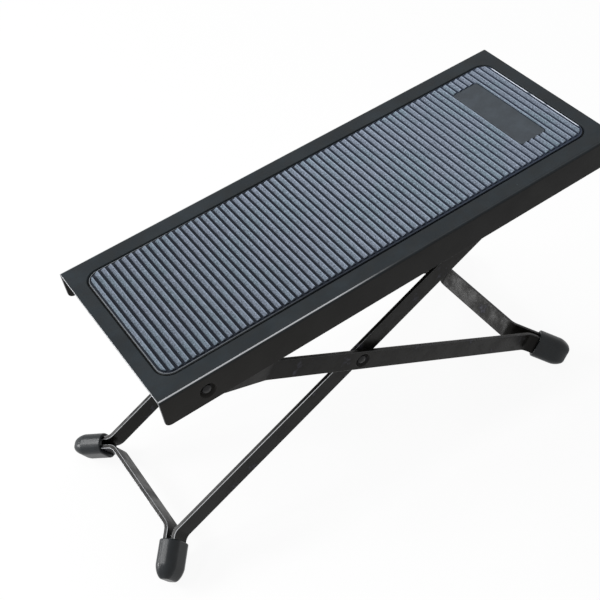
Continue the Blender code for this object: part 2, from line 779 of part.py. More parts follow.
def build_rivet(shop, name, face, stack, parent, place, turn):
    """A rivet: domed head in the dimple, shank, and a clinched tail inside the washer."""
    head_foot = face + SEAT
    washer_out = stack - SEAT
    tail_top = washer_out - WASHER - SEAT
    dome = []
    for step in range(BEND_STEPS + 1):
        angle = QUARTER * (1 - step / BEND_STEPS)
        dome.append((HEAD_RADIUS * math.cos(angle), head_foot + HEAD_RISE * math.sin(angle)))
    dome[0] = (0, dome[0][1])
    profile = dome + [(SHANK_RADIUS, head_foot), (SHANK_RADIUS, tail_top)]
    for out, drop in TAIL_PROFILE_SHARES:
        profile.append((TAIL_RADIUS * out, tail_top - TAIL_RISE * drop))
    rivet = turned(shop, name, profile, parent, turn)
    rivet.location = place
    washer_profile = [
        (HOLE_RADIUS, washer_out),
        (WASHER_RADIUS, washer_out),
        (WASHER_RADIUS, washer_out - WASHER),
        (HOLE_RADIUS, washer_out - WASHER),
    ]
    washer = turned(shop, name + "_washer", washer_profile, parent, turn, ring=True)
    washer.location = place
    return rivet, washer


def cap_rings():
    """Rings of a foot cap along its own axis, from the mouth to the tip."""
    half_long = CAP_HEIGHT / 2
    half_short = CAP_THICKNESS / 2
    rim = CAP_RIM_ROUND * CAP_RIM_SHARE
    stations = [(0, CAP_RIM_ROUND), (rim, rim), (CAP_RIM_ROUND, 0)]
    for run, drawn_in in CAP_TIP_SHARES:
        stations.append((CAP_LENGTH - CAP_TIP_RUN * (1 - run), CAP_TIP_INSET * drawn_in))
    rings = []
    for along, inset in stations:
        half_y = half_short - inset
        half_z = half_long - inset
        section = rounded_rectangle(half_y, half_z, CAP_CORNER - inset, steps=CAP_STEPS)
        rings.append([(along, y, z) for y, z in section])
    return rings


def cap_matrix(sign, far, bar_place, spread):
    """Place of a cap in its leg frame: at the ear's mouth, along the ear."""
    turn = EAR_ANGLE if sign > 0 else 2 * QUARTER - EAR_ANGLE
    mouth = (sign * (bar_place[0] + bar_place[1]), far * spread, 0)
    return Matrix.Translation(mouth) @ Matrix.Rotation(far * turn, 4, "Z")


def build_cap(shop, name, matrix, parent, floor_tool):
    """A rubber foot cap: round-ended body with a pocket for the ear and a flat foot."""
    cap = lofted(shop, name, cap_rings(), parent)
    cap.matrix_local = matrix
    half_y = EAR_OFFSET + STRAP / 2 + SEAT
    half_z = HALF_STRAP + SEAT
    loops = []
    for along in (-CUT_OVER, CAP_LENGTH - CAP_END_WALL):
        section = rounded_rectangle(half_y, half_z, CAP_POCKET_CORNER)
        loops.append([(along, y, z) for y, z in section])
    pocket = lofted(shop, name + "_pocket", loops, parent, tool=True)
    pocket.matrix_local = matrix
    boolean(cap, "pocket", "DIFFERENCE", pocket)
    boolean(cap, "floor_flat", "DIFFERENCE", floor_tool)
    return cap


def low_point(matrix, slope):
    """Height of a cap's lowest point once the platform is tilted by an angle."""
    best = None
    for ring in cap_rings():
        for point in ring:
            place = matrix @ Vector(point)
            height = place.x * math.sin(slope) + place.z * math.cos(slope)
            best = height if best is None else min(best, height)
    return best


def standing_tilt(inner_cap, outer_cap):
    """The platform tilt at which the caps of both frames touch one floor, and the floor's depth."""
    low, high = -STEEPEST_STAND, STEEPEST_STAND
    for _ in range(SOLVE_STEPS):
        middle = (low + high) / 2
        if low_point(inner_cap, middle) > low_point(outer_cap, middle):
            low = middle
        else:
            high = middle
    return low, low_point(outer_cap, low)


def centre_on_floor(shop, frame):
    """Slide the assembly so that its box is centred over the origin."""
    bpy.context.view_layer.update()
    graph = bpy.context.evaluated_depsgraph_get()
    places = []
    for item in shop.parts.objects:
        if item.type != "MESH":
            continue
        evaluated = item.evaluated_get(graph)
        mesh = evaluated.to_mesh()
        places += [(evaluated.matrix_world @ vertex.co).x for vertex in mesh.vertices]
        evaluated.to_mesh_clear()
    frame.location.x -= (min(places) + max(places)) / 2


def main():
    """Build the footrest at rest, in the third of its five heights."""
    clear_scene()
    shop = Shop()
    outer, inner = linkage_at_rest()

    outer_bar = (PIVOT_TO_SCISSOR + SCISSOR_TO_OUTER_BAR, OUTER_BAR_TO_CAP)
    inner_bar = (SCISSOR_TO_INNER_BAR, INNER_BAR_TO_CAP)
    in_platform = Matrix.Translation((PIVOT.x, 0, PIVOT.y)) @ Matrix.Rotation(outer, 4, "Y")
    in_outer = Matrix.Translation((PIVOT_TO_SCISSOR, 0, 0)) @ Matrix.Rotation(-outer - inner, 4, "Y")
    outer_cap = in_platform @ cap_matrix(1, 1, outer_bar, OUTER_CAP_SPREAD)
    inner_cap = in_platform @ in_outer @ cap_matrix(-1, 1, inner_bar, INNER_CAP_SPREAD)
    tilt, depth = standing_tilt(inner_cap, outer_cap)

    frame = shop.axis("platform_frame", None, (0, 0, -depth - FLOOR_FLAT), -tilt)
    outer_axis = shop.axis("outer_leg_axis", frame, (PIVOT.x, 0, PIVOT.y), outer)
    inner_axis = shop.axis("inner_leg_axis", outer_axis, (PIVOT_TO_SCISSOR, 0, 0), -outer - inner)

    path = rod_path()
    platform = build_platform(shop, frame)
    mat = build_mat(shop, frame)
    rails = [
        build_rail(shop, "rack_rail_near", -1, path, frame),
        build_rail(shop, "rack_rail_far", 1, path, frame),
    ]
    outer_frame = build_outer_frame(shop, outer_axis)
    inner_frame = build_inner_frame(shop, inner_axis)
    rod = build_rod(shop, inner_axis)

    rivets = []
    washers = []
    for label, turn in (("near", TO_NEAR), ("far", TO_FAR)):
        place = (PIVOT.x, 0, PIVOT.y)
        floor = HALF_WIDTH - FLANGE_DIMPLE_DEPTH
        rivet, washer = build_rivet(
            shop, "platform_rivet_" + label, floor, PIVOT_FACE - STRAP, frame, place, turn
        )
        rivets.append(rivet)
        washers.append(washer)
        floor = OUTER_FACE - STRAP_DIMPLE_DEPTH
        place = (PIVOT_TO_SCISSOR, 0, 0)
        rivet, washer = build_rivet(
            shop, "scissor_rivet_" + label, floor, INNER_FACE - STRAP, outer_axis, place, turn
        )
        rivets.append(rivet)
        washers.append(washer)

    reach = PLATFORM_LENGTH
    square = ((reach, reach), (-reach, reach), (-reach, -reach), (reach, -reach))
    floor_loops = [[(x, y, height) for x, y in square] for height in (-CAP_LENGTH, 0)]
    floor_tool = lofted(shop, "floor_tool", floor_loops, None, tool=True)
    caps = []
    for label, far in (("near", -1), ("far", 1)):
        matrix = cap_matrix(-1, far, inner_bar, INNER_CAP_SPREAD)
        caps.append(build_cap(shop, "foot_cap_left_" + label, matrix, inner_axis, floor_tool))
        matrix = cap_matrix(1, far, outer_bar, OUTER_CAP_SPREAD)
        caps.append(build_cap(shop, "foot_cap_right_" + label, matrix, outer_axis, floor_tool))

    finishes = (
        ("platform_paint", (0.028, 0.030, 0.034), 0.50, 0.0, [platform] + rails),
        ("mat_rubber", (0.150, 0.172, 0.210), 0.80, 0.0, [mat]),
        ("leg_paint", (0.018, 0.018, 0.017), 0.42, 0.0, [outer_frame, inner_frame, rod]),
        ("rivet_steel", (0.030, 0.030, 0.031), 0.38, 0.6, rivets),
        ("washer_steel", (0.420, 0.420, 0.410), 0.40, 1.0, washers),
        ("cap_rubber", (0.052, 0.058, 0.063), 0.55, 0.0, caps),
    )
    for name, colour, roughness, metallic, items in finishes:
        material = make_material(name, colour, roughness, metallic)
        for item in items:
            item.data.materials.append(material)

    centre_on_floor(shop, frame)


if __name__ == "__main__":
    main()
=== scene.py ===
"""Looks of a folding guitar footrest: the fine shape and finish of every piece, in a pale studio.

Lengths are in metres. Each group of pieces is modelled on its own bench, which is found from the
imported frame: the platform about the middle of its top face, each leg frame about its pivot axis.
A bench has X along the piece, Y across the footrest and Z up.
"""

import json
import math

import bmesh
import bpy
from bpy.props import FloatProperty, FloatVectorProperty, PointerProperty
from mathutils import Matrix, Vector, noise


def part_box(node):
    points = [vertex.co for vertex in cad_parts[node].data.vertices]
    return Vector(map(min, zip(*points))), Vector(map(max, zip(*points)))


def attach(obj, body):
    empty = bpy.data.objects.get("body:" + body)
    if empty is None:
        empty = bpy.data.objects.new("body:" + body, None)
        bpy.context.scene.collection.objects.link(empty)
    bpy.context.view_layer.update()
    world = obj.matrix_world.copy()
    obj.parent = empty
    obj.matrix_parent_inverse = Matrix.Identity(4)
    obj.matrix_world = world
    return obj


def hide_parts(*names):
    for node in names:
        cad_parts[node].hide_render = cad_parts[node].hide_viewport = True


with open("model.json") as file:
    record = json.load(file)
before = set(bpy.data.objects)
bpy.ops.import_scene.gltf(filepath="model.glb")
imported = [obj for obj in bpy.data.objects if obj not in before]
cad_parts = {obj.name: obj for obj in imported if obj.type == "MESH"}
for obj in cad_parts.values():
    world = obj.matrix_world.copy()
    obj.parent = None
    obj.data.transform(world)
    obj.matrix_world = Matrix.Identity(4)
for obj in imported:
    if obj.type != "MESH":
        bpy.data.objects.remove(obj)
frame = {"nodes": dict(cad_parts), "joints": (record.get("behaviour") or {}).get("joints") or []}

bl_info = {
    "name": "Guitar Footrest",
    "version": (1, 0, 0),
    "blender": (4, 5, 0),
    "location": "View3D > Sidebar > Footrest",
    "description": "Models and finishes a folding guitar footrest piece by piece",
    "category": "Add Mesh",
}

QUARTER = math.pi / 2
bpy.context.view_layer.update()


# Benches

UPRIGHT = 0.9


def joint_place(name):
    """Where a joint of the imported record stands."""
    return Vector(next(joint["pos_m"] for joint in frame["joints"] if joint["name"] == name))


def platform_reach(bench, axis):
    """The lowest and the highest place of the platform along a bench's axis."""
    back = bench.inverted()
    places = [(back @ vertex.co)[axis] for vertex in frame["nodes"]["platform"].data.vertices]
    return min(places), max(places)


def platform_span(axis):
    """The platform's length along an axis of its bench."""
    low, high = platform_reach(PLATFORM_BENCH, axis)
    return high - low


def platform_bench():
    """Stands on the middle of the platform's top face, tilted as the platform is."""
    faces = [face for face in frame["nodes"]["platform"].data.polygons if face.normal.z > UPRIGHT]
    normal = max(faces, key=lambda face: face.area).normal
    turn = Matrix.Rotation(math.atan2(normal.x, normal.z), 4, "Y")
    middle = sum(platform_reach(turn, 0)) / 2
    return turn @ Matrix.Translation((middle, 0, platform_reach(turn, 2)[1]))


def leg_bench(pivot, towards):
    """Stands on a pivot axis, with X laid towards another axis."""
    along = towards - pivot
    return Matrix.Translation(pivot) @ Matrix.Rotation(math.atan2(-along.z, along.x), 4, "Y")


PLATFORM_PIVOT = joint_place("platform_pivot")
SCISSOR_PIVOT = joint_place("scissor_pivot")
ROD_AXIS = sum(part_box("height_rod"), Vector()) / 2
PLATFORM_BENCH = platform_bench()
OUTER_BENCH = leg_bench(PLATFORM_PIVOT, SCISSOR_PIVOT)
INNER_BENCH = leg_bench(SCISSOR_PIVOT, ROD_AXIS)
PIVOT_ON_PLATFORM = PLATFORM_BENCH.inverted() @ PLATFORM_PIVOT
PIVOT_TO_SCISSOR = (SCISSOR_PIVOT - PLATFORM_PIVOT).length
SCISSOR_TO_ROD = (ROD_AXIS - SCISSOR_PIVOT).length


# Sizes and colours that a user may change


def length(name, description, default):
    """A length property."""
    return FloatProperty(
        name=name, description=description, default=default, min=0, unit="LENGTH", precision=5
    )


def colour(name, description, default):
    """A colour property."""
    return FloatVectorProperty(
        name=name, description=description, default=default, min=0, max=1, size=3, subtype="COLOR"
    )


class FootrestPlatform(bpy.types.PropertyGroup):
    """Sizes and paint of the pressed platform."""

    length: length("Length", "Length of the platform", platform_span(0))
    width: length("Width", "Width over the flanges", platform_span(1))
    flange: length("Flange", "Depth of the flanges below the top face", 0.0197)
    sheet: length("Sheet", "Thickness of the sheet", 0.0012)
    bend: length("Bend", "Outer radius of the bends", 0.0020)
    corner: length("Corner", "Radius of the flanges' lower corners", 0.0036)
    recess_end: length("Recess end", "From the platform's end to the mat recess", 0.0080)
    recess_side: length("Recess side", "From the platform's side to the mat recess", 0.01065)
    recess_corner: length("Recess corner", "Corner radius of the mat recess", 0.0092)
    recess_depth: length("Recess depth", "Depth of the mat recess", 0.0016)
    dimple: length("Dimple", "Radius of the dimples round the pivots", 0.0050)
    paint: colour("Paint", "Colour of the powder paint", (0.0175, 0.0230, 0.0275))


class FootrestMat(bpy.types.PropertyGroup):
    """Sizes and rubber of the ribbed mat."""

    base: length("Base", "Thickness under the ribs", 0.0009)
    border: length("Border", "Width of the raised border", 0.0006)
    groove: length("Groove", "Gap between the border and the ribs", 0.0009)
    pitch: length("Rib pitch", "Distance from rib to rib", 0.004225)
    rise: length("Rib rise", "Height of a rib", 0.0015)
    panel_length: length("Panel length", "Smooth panel along the platform", 0.0188)
    panel_width: length("Panel width", "Smooth panel across the platform", 0.0610)
    panel_place: length("Panel place", "From the platform's middle to the panel's", 0.1140)
    rubber: colour("Rubber", "Colour of the ribs", (0.160, 0.188, 0.238))
    tint: colour("Tint", "Colour of the blue-green patches", (0.141, 0.192, 0.229))
    # Painted shade and dust: the dark tone in the grooves, also laid over the ribs towards the left end.
    groove_dust_and_shade: colour("Grooves", "Colour down in the grooves", (0.012, 0.016, 0.025))
    # Painted highlight: the pale tone on the border's crest stands in for its highlight.
    lip_highlight_tone: colour("Lip", "Colour of the border where it is rubbed", (0.150, 0.162, 0.175))
    panel_rubber: colour("Panel rubber", "Colour of the smooth panel", (0.036, 0.045, 0.055))


class FootrestFrames(bpy.types.PropertyGroup):
    """Sizes and paint of the two strap frames."""

    width: length("Strap width", "Width of the flat strap", 0.0130)
    strap: length("Strap", "Thickness of the flat strap", 0.0025)
    edge: length("Strap edge", "Rounding of the strap's edges", 0.0005)
    bend: length("Bend", "Middle radius of the bends at the ears", 0.0075)
    ear_angle: FloatProperty(
        name="Ear angle", description="Splay of the ears", default=math.radians(44.5), subtype="ANGLE"
    )
    outer_face: length("Outer face", "From the centre plane to the outer face", 0.0472)
    outer_bar: length("Outer bar", "From the scissor pivot to the outer crossbar", 0.1484)
    outer_cap: length("Outer cap", "From the outer crossbar to its caps' mouths", 0.0115)
    outer_spread: length("Outer spread", "From the centre plane to the mouths", 0.0487)
    play: length("Play", "Gap between the two frames' legs", 0.0021)
    inner_bar: length("Inner bar", "From the scissor pivot to the inner crossbar", 0.1468)
    inner_cap: length("Inner cap", "From the inner crossbar to its caps' mouths", 0.0040)
    inner_spread: length("Inner spread", "From the centre plane to the mouths", 0.0425)
    dimple: length("Dimple", "Radius of the dimples round the scissor rivets", 0.0050)
    paint: colour("Paint", "Colour of the frames' paint", (0.0056, 0.0052, 0.0045))


class FootrestRivets(bpy.types.PropertyGroup):
    """Sizes and steel of the rivets and the cross rod."""

    shank: length("Shank", "Radius of a rivet's shank", 0.0020)
    head: length("Head", "Radius of a rivet's head", 0.0029)
    head_rise: length("Head rise", "Height of a rivet's dome", 0.0016)
    rod: length("Rod", "Radius of the cross rod", 0.0025)
    steel: colour("Steel", "Colour of the blackened rivets", (0.016, 0.016, 0.017))
    zinc: colour("Zinc", "Colour of the plated washers", (0.42, 0.42, 0.41))


class FootrestCaps(bpy.types.PropertyGroup):
    """Sizes and rubber of the foot caps."""

    length: length("Length", "Length of a cap", 0.0222)
    height: length("Height", "Height of a cap's section", 0.0184)
    thickness: length("Thickness", "Thickness of a cap's section", 0.0133)
    corner: length("Corner", "Corner radius of a cap's section", 0.0058)
    tip_run: length("Tip run", "Length of the rounded tip", 0.0080)
    tip_inset: length("Tip inset", "How far the tip draws in", 0.0042)
    rubber: colour("Rubber", "Colour of the caps", (0.0105, 0.0130, 0.0150))


class FootrestStudio(bpy.types.PropertyGroup):
    """The floor, the lights and the camera."""

    floor: colour("Floor", "Colour of the floor", (0.95, 0.95, 0.95))
    world: colour("World", "Grey that lights the pieces from all round", (0.34, 0.34, 0.34))
    light: FloatProperty(name="Light", description="Factor on every lamp's power", default=1, min=0)
    lens: FloatProperty(name="Lens", description="Focal length in millimetres", default=63.8)


SEAT = 0.0003
HOLE_PLAY = 0.00015
OVERRUN = 0.0010
EMBED_SHARE = 0.45
FINE_STEPS = 72
ARC_STEPS = 8
CORNER_STEPS = 16
MERGE = 0.000005
TIP_RADIUS = MERGE * 4
SMOOTH_ANGLE = math.radians(38)


# Mesh helpers


def settle(name, work):
    """The mesh of a finished bmesh."""
    mesh = bpy.data.meshes.new(name)
    work.to_mesh(mesh)
    work.free()
    return mesh


def mesh_from(name, points, faces):
    """A mesh whose faces all point outward."""
    work = bmesh.new()
    vertices = [work.verts.new(point) for point in points]
    for face in faces:
        work.faces.new([vertices[index] for index in face])
    bmesh.ops.remove_doubles(work, verts=work.verts, dist=MERGE)
    bmesh.ops.recalc_face_normals(work, faces=work.faces)
    return settle(name, work)


def loft(name, rings):
    """A closed skin through equal rings of points, with flat ends."""
    count = len(rings[0])
    points = [point for ring in rings for point in ring]
    faces = []
    for low in range(0, len(points) - count, count):
        for index in range(count):
            after = (index + 1) % count
            faces.append((low + index, low + after, low + count + after, low + count + index))
    faces.append(tuple(range(count)))
    faces.append(tuple(range(len(points) - count, len(points))))
    return mesh_from(name, points, faces)


def spin(name, profile, centre, side):
    """A body turned about the Y axis. The profile lists (radius, distance from the centre plane)."""
    rings = []
    for radius, away in profile:
        circle = arc(centre, max(radius, TIP_RADIUS), 0, 4 * QUARTER, FINE_STEPS)
        rings.append([(x, side * away, z) for x, z in circle[:-1]])
    return loft(name, rings)


def drill(radius, reach, place):
    """A round tool right through the footrest, at a place along a frame."""
    profile = [(0, -reach), (radius, -reach), (radius, reach), (0, reach)]
    return spin("drill", profile, (place, 0), 1)


def joined(name, meshes):
    """Several meshes as one."""
    work = bmesh.new()
    for mesh in meshes:
        work.from_mesh(mesh)
    return settle(name, work)


def placed(name, data):
    """A new object in the scene."""
    item = bpy.data.objects.new(name, data)
    bpy.context.scene.collection.objects.link(item)
    return item


def carved(mesh, steps):
    """The mesh after a row of exact Booleans, each an operation and a tool."""
    base = placed(mesh.name, mesh)
    tools = []
    for operation, tool_mesh in steps:
        tool = placed(mesh.name + "_tool", tool_mesh)
        tools.append(tool)
        modifier = base.modifiers.new(operation, "BOOLEAN")
        modifier.operation = operation
        modifier.solver = "EXACT"
        modifier.object = tool
    graph = bpy.context.evaluated_depsgraph_get()
    result = bpy.data.meshes.new_from_object(base.evaluated_get(graph))
    result.name = mesh.name
    for item in [base] + tools:
        bpy.data.objects.remove(item, do_unlink=True)
    return result


def piece(name, mesh, bench, body, slot, material, *nodes, even=True):
    """Adds a fine piece, moved off its bench, that rides on a body and stands for its plain solids."""
    mesh.transform(bench)
    mesh.shade_smooth()
    mesh.set_sharp_from_angle(angle=SMOOTH_ANGLE)
    mesh.materials.clear()
    mesh.materials.append(material)
    item = placed(name, mesh)
    if even:
        normals = item.modifiers.new("even_normals", "WEIGHTED_NORMAL")
        normals.keep_sharp = True
    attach(item, body)
    if nodes:
        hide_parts(*nodes)


def dress(node, material):
    """Gives a plain solid that stays in view its finish."""
    mesh = frame["nodes"][node].data
    mesh.materials.clear()
    mesh.materials.append(material)


def arc(centre, radius, start, stop, steps=ARC_STEPS):
    """Points on an arc, both ends included."""
    angles = [start + (stop - start) * step / steps for step in range(steps + 1)]
    return [(centre[0] + radius * math.cos(turn), centre[1] + radius * math.sin(turn)) for turn in angles]


def quarter(steps, first=0):
    """The cosines and sines of even steps over a quarter turn."""
    angles = [QUARTER * step / steps for step in range(first, steps + 1)]
    return [(math.cos(angle), math.sin(angle)) for angle in angles]


def rounded_rectangle(half_x, half_y, radius, steps=CORNER_STEPS, centre=(0, 0)):
    """Outline points of a rectangle with round corners."""
    points = []
    for side_x, side_y, start in ((1, 1, 0), (-1, 1, 1), (-1, -1, 2), (1, -1, 3)):
        corner = (centre[0] + side_x * (half_x - radius), centre[1] + side_y * (half_y - radius))
        points += arc(corner, radius, start * QUARTER, (start + 1) * QUARTER, steps)
    return points


def terraced(name, half_x, half_y, radius, places, centre=(0, 0)):
    """A body of level rectangles with round corners, each at an inset and a height."""
    rings = []
    for inset, height in places:
        outline = rounded_rectangle(half_x - inset, half_y - inset, radius - inset, centre=centre)
        rings.append([(x, y, height) for x, y in outline])
    return loft(name, rings)


# Shader helpers


class Signal:
    """A shader socket that writes its own maths."""

    def __init__(self, board, socket):
        self.board = board
        self.socket = socket

    def maths(self, operation, *values):
        """A Math node on these values."""
        return self.board.node("Math", {"operation": operation}, dict(enumerate(values)))

    def __add__(self, other):
        return self.maths("ADD", self, other)

    def __radd__(self, other):
        return self.maths("ADD", other, self)

    def __sub__(self, other):
        return self.maths("SUBTRACT", self, other)

    def __rsub__(self, other):
        return self.maths("SUBTRACT", other, self)

    def __mul__(self, other):
        return self.maths("MULTIPLY", self, other)

    def __rmul__(self, other):
        return self.maths("MULTIPLY", other, self)

    def __abs__(self):
        return self.maths("ABSOLUTE", self)

    def larger(self, other):
        """The larger of two values."""
        return self.maths("MAXIMUM", self, other)

    def root(self):
        """The square root."""
        return self.maths("SQRT", self)

    def between(self, low, high):
        """0 below the low value, 1 above the high one, smooth between."""
        settings = {"interpolation_type": "SMOOTHSTEP", "clamp": True}
        return self.board.node("MapRange", settings, {"Value": self, "From Min": low, "From Max": high})


class Board:
    """A tree of shader nodes that all come from one method."""

    def __init__(self, tree):
        self.tree = tree

    def feed(self, socket, value):
        """Links a signal to a socket, or writes a value on it."""
        if isinstance(value, Signal):
            self.tree.links.new(value.socket, socket)
        elif socket.type == "RGBA":
            socket.default_value = (*value, 1)
        else:
            socket.default_value = value

    def node(self, kind, settings=None, inputs=None, output=0):
        """A node of a kind, with its settings, its sockets' values and one output."""
        item = self.tree.nodes.new("ShaderNode" + kind)
        for key, value in (settings or {}).items():
            setattr(item, key, value)
        for key, value in (inputs or {}).items():
            self.feed(item.inputs[key], value)
        return Signal(self, item.outputs[output])

    def show_white(self, kind, lit, weight=1.0):
        """Plain white to the camera, also in gloss or through glass, and the lit shader to the rest."""
        names = ("Is Camera Ray", "Is Glossy Ray", "Is Transmission Ray")
        camera, glossy, through = [self.node("LightPath", output=name) for name in names]
        seen = camera.larger(glossy).larger(through) * weight
        white = self.node(kind, inputs={"Color": (1, 1, 1), "Strength": 1})
        ends = [node for node in self.tree.nodes if "Surface" in node.inputs]
        self.feed(ends[0].inputs["Surface"], self.node("MixShader", inputs={0: seen, 1: lit, 2: white}))


class Finish(Board):
    """A material with one Principled shader, and the nodes that vary it."""

    def __init__(self, name, specular=0.5, metallic=0.0, bench=None):
        self.material = bpy.data.materials.new(name)
        self.material.use_nodes = True
        super().__init__(self.material.node_tree)
        self.shader = self.tree.nodes["Principled BSDF"]
        self.set("Metallic", metallic)
        self.set("Specular IOR Level", specular)
        self.place = self.node("TexCoord", output="Object")
        if bench:
            inputs = {"Vector": self.place, "Location": bench.to_translation(), "Rotation": bench.to_euler()}
            self.place = self.node("Mapping", {"vector_type": "TEXTURE"}, inputs)

    def set(self, name, value):
        """Feeds a socket of the shader with a value or a signal."""
        self.feed(self.shader.inputs[name], value)

    def coat(self, tone, roughness, relief=None, depth=0.0):
        """The material, once its colour, its roughness and a relief of a real depth are fed."""
        self.set("Base Color", tone)
        self.set("Roughness", roughness)
        if relief:
            self.set("Normal", self.node("Bump", {}, {"Height": relief, "Distance": depth}))
        return self.material

    def grain(self, size, detail=2.0, roughness=0.5):
        """A noise value whose features are about one size across."""
        inputs = {"Vector": self.place, "Scale": 1 / size, "Detail": detail, "Roughness": roughness}
        return self.node("TexNoise", {}, inputs)

    def pits(self, size):
        """Distance to the nearest of many scattered points."""
        return self.node("TexVoronoi", {}, {"Vector": self.place, "Scale": 1 / size})

    def axis(self, name):
        """One coordinate on the piece's bench."""
        return self.node("SeparateXYZ", {}, {"Vector": self.place}, name)

    def mixed(self, share_of_second, first, second):
        """A colour between two colours."""
        return self.node("Mix", {"data_type": "RGBA"}, {0: share_of_second, 6: first, 7: second}, 2)

    def shades(self, share_of_second, tone, low, high):
        """A colour between a darker and a lighter shade of a tone."""
        return self.mixed(share_of_second, scaled(tone, low), scaled(tone, high))


def scaled(tone, factor):
    """A colour made lighter or darker."""
    return tuple(min(1, value * factor) for value in tone)


# Finishes

PAINT_PEEL = 0.0011
PEEL_DEPTH = 0.00003
HIDDEN_PEEL_DEPTH = 0.00004
DUST_PATCH = 0.0300
MOTTLE = 0.0070
DUST_SPACING = 0.0090
DUST_SPECK = 0.030
WARM_DUST = (0.019, 0.018, 0.016)
# Painted shade: the flanges' dark tone, darkened further towards the right end.
FLANGE_SHADE = (0.0120, 0.0112, 0.0098)
# Painted highlight: a pale bare-steel tone and its metallic level, for lines on the platform's bends and cut
# ends and on the straps' arrises.
WORN_STEEL_HIGHLIGHT = (0.58, 0.59, 0.61)
WORN_HIGHLIGHT_METAL = 0.9
# Scuffs, tinted blue-grey so that they also paint the straps' satin sheen.
SCUFF_AND_SHEEN_TONE = (0.070, 0.070, 0.092)
# Painted highlight: a bright tone for the glint in the mat's last groove at the right end.
PAINTED_GLINT_TONE = (0.72, 0.77, 0.86)
# Where the painted highlight line sits across the bend, and how soft its edge is.
HIGHLIGHT_LEAN = math.radians(32)
HIGHLIGHT_FADE = 0.028
STRAP_PATCH = 0.0120
STRAP_MOTTLE = 0.0030
STRAP_PEEL = 0.0018
RIB_GRAIN = 0.00075
RIB_GRAIN_DEPTH = 0.00010
RIB_PATCH = 0.030
RUBBER_GRAIN = 0.00050
PANEL_GRAIN_DEPTH = 0.00002
CAP_GRAIN_DEPTH = 0.000015
RUBBER_PATCH = 0.0080
STEEL_GRAIN = 0.0016
STEEL_GRAIN_DEPTH = 0.00002
STEEL_SCUFF = 0.0007
SPANGLE = 0.0012


def platform_paint(name, sizes):
    """Satin powder paint, dusty on top; painted shade on the flanges, darker towards the right end; a
    painted highlight of bare-steel lines on the bends and cut ends, brightest at the left end.
    """
    finish = Finish(name, specular=0.13, bench=PLATFORM_BENCH)
    cloud = finish.grain(DUST_PATCH, detail=4, roughness=0.6).between(0.35, 0.75)
    mottle = finish.grain(MOTTLE, detail=3)
    end = sizes.length / 2
    along = finish.axis("X")
    height = finish.axis("Z")
    # Painted highlight: a bare-steel line along the bends and the cut ends, brightest at the left end.
    lean_y = math.sin(HIGHLIGHT_LEAN)
    lean_z = math.cos(HIGHLIGHT_LEAN)
    ridge = (sizes.width / 2 - sizes.bend) * lean_y + sizes.bend * (1 - lean_z)
    fade = sizes.bend * HIGHLIGHT_FADE
    bend = (abs(finish.axis("Y")) * lean_y + height * lean_z).between(ridge - fade, ridge - fade / 4)
    cut = abs(along).between(end - SHEET_EDGE, end - SHEET_EDGE / 4)
    highlight_falloff = 0.05 + 0.95 * along.between(0, -end / 3)
    worn_highlight = bend.larger(cut * 0.5) * mottle.between(0.12, 0.45) * highlight_falloff
    speck = finish.pits(DUST_SPACING).between(DUST_SPECK, DUST_SPECK / 2)
    base = finish.shades(cloud, sizes.paint, 0.80, 1.25)
    base = finish.mixed(mottle.between(0.35, 0.65) * 0.25, base, WARM_DUST)
    # Painted shade: the flanges take a darker tone than the top, darker still towards the right end.
    flange = finish.shades(along.between(end / 2, -end), FLANGE_SHADE, 0.1, 1)
    base = finish.mixed(height.between(-sizes.bend, -sizes.bend / 4), flange, base)
    base = finish.mixed(speck * 0.5, base, scaled(sizes.paint, 10))
    finish.set("Metallic", worn_highlight * WORN_HIGHLIGHT_METAL)
    tone = finish.mixed(worn_highlight, base, scaled(WORN_STEEL_HIGHLIGHT, 0.72))
    return finish.coat(tone, 0.46 + cloud * 0.08 - worn_highlight * 0.20, finish.grain(PAINT_PEEL), PEEL_DEPTH)


def strap_paint(name, sizes, bench, fade):
    """Satin paint over rolled strap: soft patches, blue-grey scuffs that also paint the satin sheen, and a
    painted highlight of bare-steel lines on the arrises, fading towards one end.
    """
    finish = Finish(name, specular=0.11, bench=bench)
    patches = finish.grain(STRAP_PATCH, detail=4, roughness=0.65)
    mottle = finish.grain(STRAP_MOTTLE, detail=4, roughness=0.65)
    cloud = patches.between(0.35, 0.70)
    # Scuffs that also paint the satin sheen in blue-grey patches.
    scuff_and_sheen = patches.between(0.58, 0.72) * mottle.between(0.35, 0.70)
    half = sizes.width / 2
    away = abs(finish.axis("Z"))
    # Painted highlight: bare-steel lines on the arrises, fading towards one end of the frame.
    arris = away.between(half - sizes.edge * 0.75, half - sizes.edge * 0.45)
    arris = arris - arris * away.between(half - sizes.edge * 0.14, half - sizes.edge * 0.03)
    worn_highlight = arris * mottle.between(0.15, 0.45) * (0.12 + 0.88 * finish.axis("X").between(*fade))
    base = finish.shades(cloud, sizes.paint, 0.75, 1.30)
    base = finish.mixed(scuff_and_sheen * 0.7, base, SCUFF_AND_SHEEN_TONE)
    finish.set("Metallic", worn_highlight * WORN_HIGHLIGHT_METAL)
    roughness = 0.25 + cloud * 0.22 + mottle * 0.06
    peel = finish.grain(STRAP_PEEL, detail=3)
    return finish.coat(finish.mixed(worn_highlight, base, WORN_STEEL_HIGHLIGHT), roughness, peel, PEEL_DEPTH)


def plain_paint(name, tone):
    """The same dark paint on hidden pieces, with its orange peel."""
    finish = Finish(name, specular=0.25)
    cloud = finish.grain(MOTTLE, detail=4, roughness=0.6).between(0.35, 0.70)
    base = finish.shades(cloud, tone, 0.80, 1.30)
    return finish.coat(base, 0.34 + cloud * 0.12, finish.grain(PAINT_PEEL), HIDDEN_PEEL_DEPTH)


